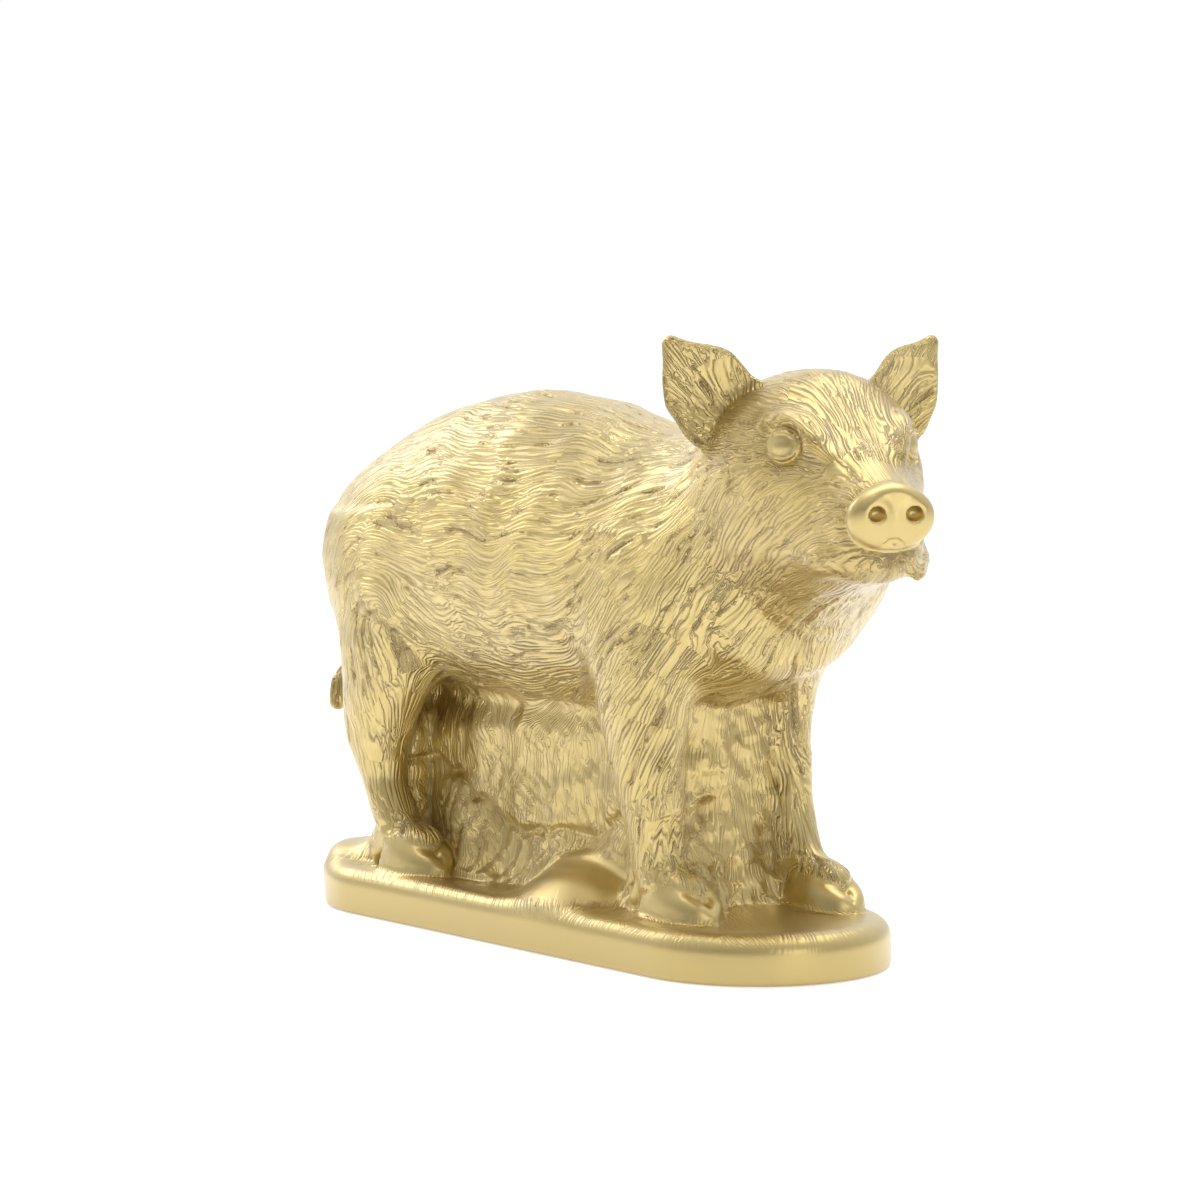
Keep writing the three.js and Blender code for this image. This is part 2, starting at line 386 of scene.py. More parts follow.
@dataclass(frozen=True)
class Roll(Form):
    """A rolled thread of clay laid along points that each have a radius.

    Attributes:
        path: Rows of place in the chosen axes, and radius.
        axes: The body's or the head's axes.
    """

    path: tuple[Row, ...]
    axes: Axes = Axes.BODY

    def bounds(self) -> tuple[Array, Array]:
        """Box around the thread.

        Returns:
            Lowest and highest corner.
        """
        table = np.array(self.path)
        thick = table[:, 3].max()
        low, high = table[:, :3].min(axis=0) - thick, table[:, :3].max(axis=0) + thick
        return turned_box(low, high) if self.axes is Axes.HEAD else (low, high)

    def distance(self, at: Coordinates) -> Array:
        """Distance from the nearest stretch: from its line, less the radius there.

        Args:
            at: X, Y and Z of the places.

        Returns:
            Millimetres, negative inside.
        """
        place = to_head(at) if self.axes is Axes.HEAD else at
        nearest = None
        for start, end in zip(self.path, self.path[1:]):
            leg = [b - a for a, b in zip(start[:3], end[:3])]
            offset = [p - a for p, a in zip(place, start[:3])]
            share = np.clip(sum(o * d for o, d in zip(offset, leg)) / sum(d * d for d in leg), 0, 1)
            gap = np.sqrt(sum((o - share * d) ** 2 for o, d in zip(offset, leg)))
            gap = gap - (start[3] + share * (end[3] - start[3]))
            nearest = gap if nearest is None else np.minimum(nearest, gap)
        return nearest


@dataclass(frozen=True)
class EarLeaf(Form):
    """An ear: a leaf that stands out from the crown, hollow in front, in the head's axes.

    Attributes:
        side: Which ear.
        root: Middle of its root on the right-hand pattern, mirrored for the other side.
        tip: Its tip.
        hollow: Depth of the hollow at the root.
        width: Half width at each share of the way to the tip.
        thick: Half thickness at the root, and how much of it is lost at the tip.
        facing: How far the hollow is turned outwards from straight ahead.
        reach: Room round the middle line that holds the leaf.
    """

    side: Side
    root: Triple = (6.0, 41.0, 278.0)
    tip: Triple = (-2.0, 72.0, 319.0)
    hollow: float = 14.0
    width: Profile = Profile(((-0.1, 20), (0, 22), (0.3, 23), (0.55, 21), (0.7, 15.5), (0.86, 8), (1, 3)))
    thick: tuple[float, float] = (4.6, 2.2)
    facing: float = 0.35
    reach: float = 26.0

    def frame(self) -> tuple[Array, Array, Array, Array]:
        """The leaf's own axes.

        Returns:
            Root, way to the tip, way across and way the hollow faces, in the body's axes.
        """
        mirror = np.array([1, self.side.value, 1])
        root, tip = head_point(np.array(self.root) * mirror), head_point(np.array(self.tip) * mirror)
        along = tip - root
        front = head_vector((1, self.facing * self.side.value, 0))
        across = unit(np.cross(front, along))
        return root, along, across, unit(np.cross(along, across))

    def bounds(self) -> tuple[Array, Array]:
        """Box around root and tip, and half the leaf's width beyond.

        Returns:
            Lowest and highest corner.
        """
        root, along, _, _ = self.frame()
        ends = np.array([root, root + along])
        return ends.min(axis=0) - self.reach, ends.max(axis=0) + self.reach

    def local(self, at: Coordinates) -> Coordinates:
        """Places on the leaf, whose middle is bent like a trough: depth * (share across² - 0.55).

        Args:
            at: X, Y and Z in the body's axes.

        Returns:
            Share of the way to the tip, share of the half width, and height over the leaf's middle.
        """
        root, along, across, facing = self.frame()
        offset = [p - r for p, r in zip(at, root)]
        share = sum(o * a for o, a in zip(offset, along)) / (along @ along)
        (half,) = self.width(share)
        over = sum(o * a for o, a in zip(offset, across)) / half
        curl = self.hollow * (1 - np.clip(share, 0, 1)) * (np.minimum(over * over, 1.2) - 0.55)
        return share, over, sum(o * f for o, f in zip(offset, facing)) - curl

    def distance(self, at: Coordinates) -> Array:
        """Distance through the leaf's thickness, or from its edge where a point lies beside it.

        Args:
            at: X, Y and Z of the places.

        Returns:
            Millimetres, negative inside.
        """
        share, over, lift = self.local(at)
        (half,) = self.width(share)
        thick = self.thick[0] - self.thick[1] * np.clip(share, 0, 1)
        inside = np.sqrt(np.clip(1 - over * over, 0, 1))
        beside = np.maximum(np.abs(over) - 1, 0) * half
        length = float(np.linalg.norm(self.frame()[1]))
        span = (self.width.span[0] * length, length)
        return capped(np.hypot(beside, lift) - thick * inside, share * length, span)


@dataclass(frozen=True)
class Claw(Form):
    """One claw of a cloven hoof, blunt behind and pointed in front.

    Attributes:
        foot: Where the leg meets the hoof.
        side: Which claw of the two.
        length: From heel to toe.
        heel: How far the claw reaches behind the leg's middle.
        gap: Half the cleft between the claws.
        toe_in: How far the claws close in towards the toes.
        sole: How deep the claw is sunk into the ground.
        power: How square its section is.
        shape: Rows of share of the length, height and half width.
    """

    foot: Triple
    side: Side
    length: float = 40.0
    heel: float = 8.0
    gap: float = 0.4
    toe_in: float = 1.5
    sole: float = 4.0
    power: float = 2.7
    shape: Profile = Profile(
        (
            (0, 13, 8),
            (0.3, 18, 8.6),
            (0.55, 16.5, 8.5),
            (0.8, 11.5, 6.8),
            (0.93, 7.5, 4.4),
            (1, 3.5, 1.8),
        )
    )

    def bounds(self) -> tuple[Array, Array]:
        """Box around the claw.

        Returns:
            Lowest and highest corner.
        """
        x, y, _ = self.foot
        low = np.array([x - 10, y - 24, GROUND - self.sole])
        return low, np.array([x + self.length, y + 24, GROUND + 26])

    def distance(self, at: Coordinates) -> Array:
        """Distance from the half-round section at each place along the claw.

        Args:
            at: X, Y and Z of the places.

        Returns:
            Millimetres, negative inside.
        """
        x, y, z = at
        share = (x - self.foot[0] + self.heel) / self.length
        up, half = self.shape(share)
        middle = self.foot[1] + self.side.value * (self.gap + half - share * self.toe_in)
        tall = np.where(z > GROUND, up, self.sole)
        oval = oval_distance(y - middle, z - GROUND, half, tall, self.power)
        return capped(oval, share * self.length, (0, self.length))


@dataclass(frozen=True)
class Slab(Form):
    """The plinth: straight sides and half-round ends, an upright rim and a rounded edge.

    Attributes:
        mounds: Rows of X, Y, height and reach of each swell or hollow of the ground.
        rim: How far in from the rounded edge the ground has its full swell.
        headroom: Room over the ground for its swells.
    """

    mounds: tuple[Row, ...] = (
        (-150, 0, 5, 40),
        (120, 0, 3, 30),
        (-60, -30, -2, 30),
        (40, -52, 3, 26),
        (150, -30, -2, 26),
    )
    rim: float = 18.0
    headroom: float = 8.0

    def bounds(self) -> tuple[Array, Array]:
        """Box around the plinth.

        Returns:
            Lowest and highest corner.
        """
        corner = np.array([PLINTH_LENGTH / 2, PLINTH_WIDTH / 2, 0])
        return -corner, corner + np.array([0, 0, GROUND + self.headroom])

    def distance(self, at: Coordinates) -> Array:
        """Distance from a slab whose upper edge is rounded, cut off flat underneath.

        Args:
            at: X, Y and Z of the places.

        Returns:
            Millimetres, negative inside.
        """
        x, y, z = at
        radius = PLINTH_WIDTH / 2
        plan = np.hypot(np.maximum(np.abs(x) - PLINTH_LENGTH / 2 + radius, 0), y) - radius + RIM_ROUND
        rise = 0.0
        for middle_x, middle_y, tall, reach in self.mounds:
            rise = rise + tall * np.exp(-((x - middle_x) ** 2 + (y - middle_y) ** 2) / reach**2)
        over = z - GROUND - rise * fade(-plan, 0, self.rim) + RIM_ROUND
        outside = np.hypot(np.maximum(plan, 0), np.maximum(over, 0))
        return np.maximum(np.minimum(np.maximum(plan, over), 0) + outside - RIM_ROUND, -z)


@dataclass(frozen=True)
class Disc(Form):
    """The snout's smooth disc, wider than tall, with a crest along its upper edge.

    Attributes:
        profile: Rows of place ahead of the disc's middle, half width and half height.
        lean: How far the disc leans ahead for each millimetre up.
        crest: How much taller the crest is, as a share, and its half width.
        power: How square the oval is.
    """

    profile: Profile = Profile(
        (
            (-9, 15, 11),
            (-4, 20, 14),
            (0, 21.8, 15.4),
            (3, 21.5, 15),
            (6, 19.5, 13.4),
            (7.5, 17, 11.2),
        )
    )
    lean: float = 0.08
    crest: tuple[float, float] = (0.1, 9.0)
    power: float = 2.15

    def bounds(self) -> tuple[Array, Array]:
        """Box around the disc.

        Returns:
            Lowest and highest corner.
        """
        low = (SNOUT_AHEAD - 10, -24, SNOUT_HEIGHT - 18)
        return turned_box(low, (SNOUT_AHEAD + 10, 24, SNOUT_HEIGHT + 20))

    def distance(self, at: Coordinates) -> Array:
        """Distance from the oval at each place ahead. The oval comes to a soft peak at its top.

        Args:
            at: X, Y and Z of the places.

        Returns:
            Millimetres, negative inside.
        """
        ahead, left, height = to_head(at)
        over = height - SNOUT_HEIGHT
        along = ahead - SNOUT_AHEAD - self.lean * over
        half, tall = self.profile(along)
        taller, wide = self.crest
        tall = tall * (1 + taller * np.exp(-((left / wide) ** 2)) * (over > 0))
        return capped(oval_distance(left, over, half, tall, self.power), along, self.profile.span)


# The clay model on a grid


class Clay:
    """Distance to the modelled surface at the points of a grid, negative inside."""

    FAR = 24.0
    MARGIN = 6.0

    def __init__(self, low: Triple, high: Triple, step: float) -> None:
        """An empty grid.

        Args:
            low: Lowest corner.
            high: Highest corner.
            step: Distance between neighbouring points.
        """
        self.low = np.array(low)
        self.step = step
        self.shape = np.ceil((np.array(high) - self.low) / step).astype(int) + 1
        self.value = np.full(self.shape, self.FAR, np.float32)

    def window(self, form: Form, margin: float) -> tuple[tuple[slice, ...], Coordinates]:
        """The part of the grid around a form.

        Args:
            form: The form.
            margin: Room round its box.

        Returns:
            The part as slices, and X, Y and Z of its points.
        """
        low, high = form.bounds()
        first = np.clip(np.floor((low - margin - self.low) / self.step), 0, self.shape - 1).astype(int)
        last = np.clip(np.ceil((high + margin - self.low) / self.step) + 1, 1, self.shape).astype(int)
        spans = zip(self.low, first, last)
        lines = [(start + self.step * np.arange(a, b)).astype(np.float32) for start, a, b in spans]
        place = np.meshgrid(*lines, indexing="ij", sparse=True)
        return tuple(slice(a, b) for a, b in zip(first, last)), tuple(place)

    def add(self, form: Form, blend: float) -> None:
        """Joins a form on, with a fillet as wide as blend."""
        part, at = self.window(form, blend + self.MARGIN)
        self.value[part] = soft_min(self.value[part], form.distance(at), blend)

    def cut(self, form: Form, blend: float) -> None:
        """Takes a form away, with its edge rounded as wide as blend."""
        part, at = self.window(form, blend + self.MARGIN)
        self.value[part] = -soft_min(-self.value[part], form.distance(at), blend)

    def soften(self, passes: int) -> None:
        """Rounds edges: along each axis a point takes half of itself and a quarter of each neighbour.

        Args:
            passes: How often this is done.
        """
        for axis in (0, 1, 2) * passes:
            lines = np.moveaxis(self.value, axis, 0)
            lines[1:-1] = lines[1:-1] * 0.5 + (lines[:-2] + lines[2:]) * 0.25

    def at(self, points: Array) -> Array:
        """Distance at any points, straight between those of the grid.

        Args:
            points: Places in the part's frame.

        Returns:
            One distance for each point.
        """
        place = np.clip((points - self.low) / self.step, 0, self.shape - 1.001)
        cell = place.astype(int)
        share = place - cell
        total = np.zeros(len(points))
        for corner in np.ndindex(2, 2, 2):
            weight = np.prod(np.where(corner, share, 1 - share), axis=1)
            total += weight * self.value[tuple((cell + corner).T)]
        return total

    def slope(self, points: Array) -> Array:
        """The surface's outward direction at points near it."""
        ways = np.eye(3) * self.step
        return unit(np.stack([self.at(points + way) - self.at(points - way) for way in ways], axis=1))

    def surface(self) -> tuple[Array, Array]:
        """The surface where the distance is nought.

        Returns:
            Its points, and its four-sided faces turned outwards, so that they enclose a positive volume.
        """
        grid = openvdb.FloatGrid(self.FAR)
        grid.copyFromArray(self.value)
        points, quads = grid.convertToQuads(isovalue=0.0)
        points = points * self.step + self.low
        a, b, c, d = (points[quads[:, k]] for k in range(4))
        volume = np.einsum("ij,ij->i", a, np.cross(b - a, c - a) + np.cross(c - a, d - a)).sum()
        return points, quads if volume > 0 else quads[:, ::-1]


# The piglet's forms


@dataclass(frozen=True)
class Body:
    """Trunk, neck and tail."""

    trunk: Barrel = Barrel(
        Profile(
            (
                (-198, 206, 178, 14),
                (-193, 222, 160, 34),
                (-180, 239, 146, 49),
                (-153, 257, 136, 60),
                (-115, 274, 129, 66),
                (-70, 286, 124, 67),
                (-28, 289, 122, 67),
                (20, 282, 122, 66),
                (65, 270, 126, 64),
                (110, 265, 132, 59),
                (140, 256, 142, 53),
                (160, 239, 156, 42),
                (170, 216, 178, 20),
            )
        ),
        2.15,
        Axes.BODY,
    )
    neck: Barrel = Barrel(
        Profile(
            (
                (-110, 250, 172, 16),
                (-92, 262, 155, 40),
                (-75, 270, 146, 56),
                (-40, 281, 150, 60),
                (-10, 292, 161, 57),
                (16, 294, 178, 47),
                (38, 285, 194, 30),
            )
        ),
        2.2,
        Axes.HEAD,
    )
    tail: Roll = Roll(
        (
            (-186, 0, 212, 6),
            (-198, -2, 190, 5),
            (-199, -9, 160, 4.5),
            (-196, -18, 134, 4),
            (-200, -25, 120, 6),
            (-200, -27, 109, 5),
        )
    )

    def build(self, clay: Clay) -> None:
        """Puts trunk and neck into the clay."""
        clay.add(self.trunk, blend=1)
        clay.add(self.neck, blend=16)

    def hang_tail(self, clay: Clay) -> None:
        """Lays the tail down the back of the rump."""
        clay.add(self.tail, blend=4)


@dataclass(frozen=True)
class Head:
    """Skull, brows, eyes, snout and ears. Rows and forms of one side are mirrored for the other.

    Attributes:
        skull: The head without its finer forms.
        eye: Middle of an eyeball.
        eyeball: Its radius.
        opening: How far the lids lie from the gaze at the corners and between them, in degrees.
        socket_reach: How far ahead of the eyeball's middle the hollow round it is centred.
        socket_radius: The hollow's radius.
        nostril: Middle of a nostril.
        chin: The lower jaw's end.
        bridge: The back of the nose.
        lip: The bulge at the mouth's corner.
        brow_path: Rows of place and radius of the heavy brow, which slopes to the nose.
        tear_line: Rows of place and radius of the crease from the eye to the nose.
        beard: Rows of ahead, left, height of top and height of tip of each tuft under the chin.
        mouth: The notch in the disc's lower edge.
    """

    skull: Barrel = Barrel(
        Profile(
            (
                (-28, 288, 210, 30),
                (-15, 297, 198, 46),
                (5, 302, 190, 53),
                (22, 303, 188, 53.5),
                (38, 300, 190, 48),
                (52, 291, 194, 42.5),
                (66, 279, 198, 36),
                (80, 267, 201, 29.5),
                (94, 257, 203, 24.5),
                (104, 252, 207, 21),
                (110, 248, 213, 17),
            )
        ),
        2.2,
        Axes.HEAD,
    )
    eye: Triple = (53.6, 28.4, 266.5)
    eyeball: float = 9.8
    opening: tuple[float, float] = (52.0, 39.0)
    socket_reach: float = 15.0
    socket_radius: float = 13.0
    nostril: Triple = (119.5, 9.5, 237.0)
    chin: Egg = Egg((99, 0, 214), (12, 19, 9), Axes.HEAD)
    bridge: Roll = Roll(((78, 0, 258, 9), (96, 0, 248, 8), (110, 0, 245, 6)), Axes.HEAD)
    lip: Triple = (78, 22, 214)
    brow_path: tuple[Row, ...] = (
        (42, 35, 277, 3),
        (52, 30, 279.5, 4.6),
        (61, 26.5, 276.5, 5.4),
        (70, 22.5, 269.5, 5),
        (77, 19, 263, 3.5),
    )
    tear_line: tuple[Row, ...] = ((66, 30, 261.5, 2.4), (79, 23, 256.5, 1))
    beard: tuple[Row, ...] = ((96, 19, 214, 206), (101, 15, 211, 204), (89, 21, 214, 206))
    mouth: Roll = Roll(
        (
            (115.8, -6.5, 220.5, 1.3),
            (117, -1.5, 223.6, 2.2),
            (117, 1.5, 223.6, 2.2),
            (115.8, 6.5, 220.5, 1.3),
        ),
        Axes.HEAD,
    )

    def eye_centre(self, side: Side) -> Array:
        """Middle of an eyeball in the head's axes."""
        return np.array(mirrored(self.eye, side))

    def ball(self, side: Side) -> Egg:
        """An eyeball."""
        return Egg(tuple(self.eye_centre(side)), (self.eyeball,) * 3, Axes.HEAD)

    def gaze(self, side: Side) -> Array:
        """The way an eye looks, in the head's axes."""
        return unit(np.array([0.62, 0.77 * side.value, 0.12]))

    def socket(self, side: Side) -> Egg:
        """The hollow round an eye: a ball that lies over the eyeball and bites into the skull."""
        centre = self.eye_centre(side) + self.gaze(side) * self.socket_reach
        return Egg(tuple(centre), (self.socket_radius,) * 3, Axes.HEAD)

    def brow(self, side: Side) -> Roll:
        """The heavy brow that slopes to the nose."""
        return Roll(tuple(mirrored(row, side) for row in self.brow_path), Axes.HEAD)

    def lid(self, side: Side, first: float, last: float, thick: float) -> Roll:
        """A lid: a thread laid on the eyeball along part of a ring.

        The ring leans from the gaze by the wide opening at the corners and the narrow one between them.

        Args:
            side: Which eye.
            first: Where the ring's part starts, in degrees from the nose's side over the top.
            last: Where it ends.
            thick: The thread's radius in its middle.

        Returns:
            The thread, thinner at both ends.
        """
        outward = self.gaze(side)
        ahead = unit(np.cross(outward, (0, 0, side.value)))
        up = np.cross(ahead, outward) * side.value
        turn = np.radians(np.linspace(first, last, 9))[:, None]
        wide, narrow = np.radians(self.opening)
        lean = narrow + (wide - narrow) * np.cos(turn) ** 2
        ring = np.cos(lean) * outward + np.sin(lean) * (np.cos(turn) * ahead + np.sin(turn) * up)
        ring = self.eye_centre(side) + self.eyeball * ring
        radius = thick * (0.55 + 0.45 * np.sin(np.linspace(0, math.pi, 9)))[:, None]
        return Roll(tuple(map(tuple, np.hstack([ring, radius]))), Axes.HEAD)

    def build(self, clay: Clay) -> None:
        """Models the head from the skull to the finer forms of the face.

        Args:
            clay: The clay that they join.
        """
        clay.add(self.skull, blend=12)
        clay.add(self.chin, blend=8)
        clay.add(self.bridge, blend=8)
        for ahead, left, top, tip in self.beard:
            tuft = ((ahead, left, top, 4), (ahead + 3, left + 3, tip, 2))
            clay.add(Roll(tuft, Axes.HEAD), blend=3)
        for side in Side:
            clay.add(Egg(mirrored(self.lip, side), (17, 9, 9), Axes.HEAD), blend=9)
            clay.add(self.brow(side), blend=9)
            crease = tuple(mirrored(row, side) for row in self.tear_line)
            clay.cut(Roll(crease, Axes.HEAD), blend=4)
            clay.add(EarLeaf(side), blend=7)

    def finish_face(self, clay: Clay) -> None:
        """Adds what stays crisp: eyes, lids, the snout's disc, nostrils and mouth.

        Args:
            clay: The clay that they join.
        """
        clay.add(Disc(), blend=2.5)
        clay.cut(self.mouth, blend=1)
        for side in Side:
            ahead, left, height = mirrored(self.nostril, side)
            clay.add(Egg((ahead - 2, left, height), (2.5, 6.5, 6), Axes.HEAD), blend=3)
            clay.cut(Egg((ahead, left, height), (6, 4.2, 3.6), Axes.HEAD), blend=1.5)
            clay.cut(self.socket(side), blend=2)
            clay.add(self.ball(side), blend=0.6)
            clay.add(self.lid(side, first=-195, last=15, thick=1.4), blend=0.5)
            clay.add(self.lid(side, first=-15, last=195, thick=1.9), blend=0.5)


@dataclass(frozen=True)
class Leg:
    """A leg with its cloven hoof.

    Attributes:
        rows: Rows of height, X, Y, half length and half width, from the hoof up.
    """

    rows: tuple[Row, ...]

    @property
    def foot(self) -> Triple:
        """X, Y and height where the leg meets its hoof."""
        height, x, y = self.rows[0][:3]
        return x, y, height

    def limb(self) -> Column:
        """The leg itself, carried down a little into the hoof."""
        height, *rest = self.rows[0]
        return Column(Profile(((height - 6, *rest), *self.rows)))

    def dewclaw(self, side: Side) -> Roll:
        """The small claw behind a toe, which points down and back.

        Args:
            side: Which of the two.

        Returns:
            A thread that ends on the ground.
        """
        x, y, _ = self.foot
        aside = y + side.value * 9
        top = (x - 9, aside, GROUND + 20, 4.5)
        middle = (x - 17, aside + side.value, GROUND + 9, 4.2)
        return Roll((top, middle, (x - 20, aside, GROUND + 2, 2)))

    def build(self, clay: Clay) -> None:
        """Joins the leg to the body.

        Args:
            clay: The clay that it joins.
        """
        x, y, _ = self.foot
        pastern = Egg((x + 5, y, GROUND + 13), (17, 14.5, 13))
        clay.add(self.limb(), blend=14)
        clay.add(pastern, blend=8)

    def shoe(self, clay: Clay) -> None:
        """Adds the claws, which stay smooth and crisp.

        Args:
            clay: The clay that they join.
        """
        for side in Side:
            clay.add(Claw(self.foot, side), blend=2.5)
            clay.add(self.dewclaw(side), blend=3)


LEGS = (
    Leg(
        (
            (32, 108, -35, 15, 13.5),
            (44, 102, -37, 14, 13),
            (60, 99, -39, 14.5, 12.5),
            (85, 98, -42, 18.5, 15),
            (118, 97, -45, 25, 18),
            (150, 95, -44, 34, 21),
            (180, 92, -38, 48, 24),
            (215, 92, -28, 60, 28),
        )
    ),
    Leg(
        (
            (32, 130, 42, 15.5, 13.5),
            (44, 120, 42, 14.5, 13),
            (60, 111, 43, 14.5, 12.5),
            (85, 103, 44, 16.5, 13.5),
            (118, 98, 44, 20, 15.5),
            (150, 95, 43, 31, 20),
            (180, 92, 37, 46, 24),
            (215, 92, 28, 60, 28),
        )
    ),
    Leg(
        (
            (32, -106, -44, 15, 13.5),
            (50, -117, -45, 13, 11.5),
            (72, -129, -46, 13.5, 11),
            (96, -134, -46, 21.5, 14.5),
            (128, -126, -45, 33, 20),
            (155, -122, -42, 43, 24),
            (180, -122, -37, 53, 27),
            (215, -126, -28, 60, 30),
        )
    ),
    Leg(
        (
            (32, -124, 44, 15, 13.5),
            (50, -134, 45, 13, 11.5),
            (72, -143, 46, 13.5, 11),
            (96, -147, 46, 21.5, 14.5),
            (128, -137, 45, 33, 20),
            (155, -130, 42, 43, 24),
            (180, -128, 37, 53, 27),
            (215, -128, 28, 60, 30),
        )
    ),
)


@dataclass(frozen=True)
class Ground:
    """The plinth, the rough clay that carries the belly, and lumps on the ground.

    Attributes:
        slab: The plinth.
        walls: For each wall, rows of height, X of rear and front, and half thickness.
        wall_power: How square the walls are in plan.
        lumps: Low mounds of clay on the ground.
    """

    slab: Slab = Slab()
    walls: tuple[tuple[Row, ...], ...] = (
        (
            (20, -158, 124, 41),
            (32, -152, 118, 33),
            (55, -146, 112, 26),
            (85, -142, 108, 24),
            (115, -140, 106, 27),
            (150, -138, 104, 34),
        ),
        (
            (20, 66, 128, 46),
            (40, 70, 120, 44),
            (70, 74, 112, 43),
            (110, 76, 110, 42),
            (150, 76, 108, 40),
        ),
        (
            (20, -172, -106, 46),
            (34, -158, -112, 43),
            (70, -152, -118, 42),
            (110, -152, -118, 42),
            (150, -152, -118, 40),
        ),
    )
    wall_power: float = 3.2
    lumps: tuple[Egg, ...] = (
        Egg((36, -38, GROUND), (31, 19, 16)),
        Egg((4, 40, GROUND), (34, 16, 14)),
        Egg((-166, -30, GROUND), (20, 15, 7)),
    )

    def wall_forms(self) -> list[Column]:
        """The walls as stacked ovals with flat sides.

        Returns:
            One column for each wall.
        """
        forms = []
        for rows in self.walls:
            ovals = tuple((z, (a + b) / 2, 0, (b - a) / 2, half) for z, a, b, half in rows)
            forms.append(Column(Profile(ovals), self.wall_power))
        return forms

    def build(self, clay: Clay) -> None:
        """Joins plinth, walls and lumps to the rest.

        Args:
            clay: The clay that they join.
        """
        for wall in self.wall_forms():
            clay.add(wall, blend=8)
        clay.add(self.slab, blend=9)
        for lump in self.lumps:
            clay.add(lump, blend=22)


# The coat of fur


@dataclass(frozen=True)
class Guide:
    """The way the hair lies at one place of the right side. The left side mirrors it."""

    place: Triple
    way: Triple
    axes: Axes = Axes.BODY

    def both(self) -> list[tuple[Array, Array]]:
        """The guide on both sides.

        Returns:
            Place and way on the right and on the left, in the body's axes.
        """
        pairs = []
        for mirror in (np.array([1, 1, 1]), np.array([1, -1, 1])):
            place, way = np.array(self.place) * mirror, np.array(self.way) * mirror
            turned = self.axes is Axes.HEAD
            pairs.append((head_point(place), head_vector(way)) if turned else (place, way))
        return pairs


BODY_GUIDES = (
    # Back and flank: along the body, with the haunch combed in an arch
    Guide((100, -2, 265), (-1, 0, 0)),
    Guide((20, -2, 282), (-1, 0, 0)),
    Guide((-80, -2, 285), (-1, 0, -0.1)),
    Guide((-150, -5, 255), (-0.8, 0, -0.5)),
    Guide((-194, -5, 215), (-0.1, 0, -1)),
    Guide((100, -48, 235), (-0.9, 0, -0.35)),
    Guide((30, -52, 245), (-1, 0, -0.1)),
    Guide((-60, -52, 250), (-1, 0, 0)),
    Guide((-130, -48, 235), (-0.9, 0, -0.35)),
    Guide((45, -66, 205), (-1, 0, -0.2)),
    Guide((-20, -67, 205), (-1, 0, 0)),
    Guide((-80, -67, 205), (-1, 0, 0.05)),
    Guide((30, -62, 160), (-1, 0, -0.15)),
    Guide((-25, -60, 150), (-1, 0, 0.15)),
    Guide((-62, -58, 150), (-0.8, 0, 0.55)),
    Guide((-85, -63, 168), (-0.65, 0, 0.7)),
    Guide((-112, -66, 190), (-1, 0, 0)),
    Guide((-150, -60, 180), (-0.5, 0, -0.85)),
    Guide((-172, -48, 170), (-0.15, 0, -1)),
    Guide((-20, -30, 124), (-1, 0, 0)),
    # Legs: down and back
    Guide((-150, -60, 150), (-0.1, 0, -1)),
    Guide((-110, -64, 150), (0.45, 0, -0.9)),
    Guide((-130, -64, 125), (0.15, 0, -1)),
    Guide((-130, -58, 85), (0.1, 0, -1)),
    Guide((-115, -50, 50), (0.5, 0, -0.85)),
    Guide((75, -64, 175), (-0.8, 0, -0.6)),
    Guide((110, -62, 180), (-0.6, -0.1, -0.8)),
    Guide((98, -65, 145), (-0.62, 0, -0.78)),
    Guide((98, -60, 100), (-0.55, 0, -0.83)),
    Guide((100, -52, 60), (-0.3, 0, -0.95)),
    Guide((115, -42, 100), (-0.1, -0.5, -0.9)),
    Guide((112, -38, 50), (0.3, 0, -0.95)),
    # Chest: from the throat down and out to the shoulders
    Guide((160, -15, 200), (-0.1, -0.5, -0.8)),
    Guide((150, -40, 190), (-0.4, -0.5, -0.7)),
    Guide((135, -25, 150), (-0.3, -0.5, -0.75)),
    Guide((172, -2, 190), (0, -0.35, -0.9)),
    Guide((-197, -10, 130), (0, -0.1, -1)),
    # Clay under the belly: downwards
    Guide((50, -28, 100), (0.1, 0, -1)),
    Guide((-10, -26, 100), (0, 0, -1)),
    Guide((-70, -28, 90), (0.2, 0, -1)),
    Guide((0, -30, 60), (0.1, 0, -1)),
    Guide((-70, -34, 50), (0.2, 0, -1)),
    Guide((112, -5, 90), (0, -0.1, -1)),
    Guide((120, -5, 50), (0, -0.2, -1)),
    # Plinth: across its top and down its edge
    Guide((-120, -62, 22), (0.3, -1, -0.3)),
    Guide((-40, -62, 22), (0.3, -1, -0.3)),
    Guide((40, -62, 22), (0.4, -1, -0.3)),
    Guide((120, -60, 22), (0.5, -1, -0.3)),
    Guide((185, -20, 22), (1, -0.3, -0.3)),
    Guide((-185, -20, 22), (-1, -0.3, -0.3)),
)

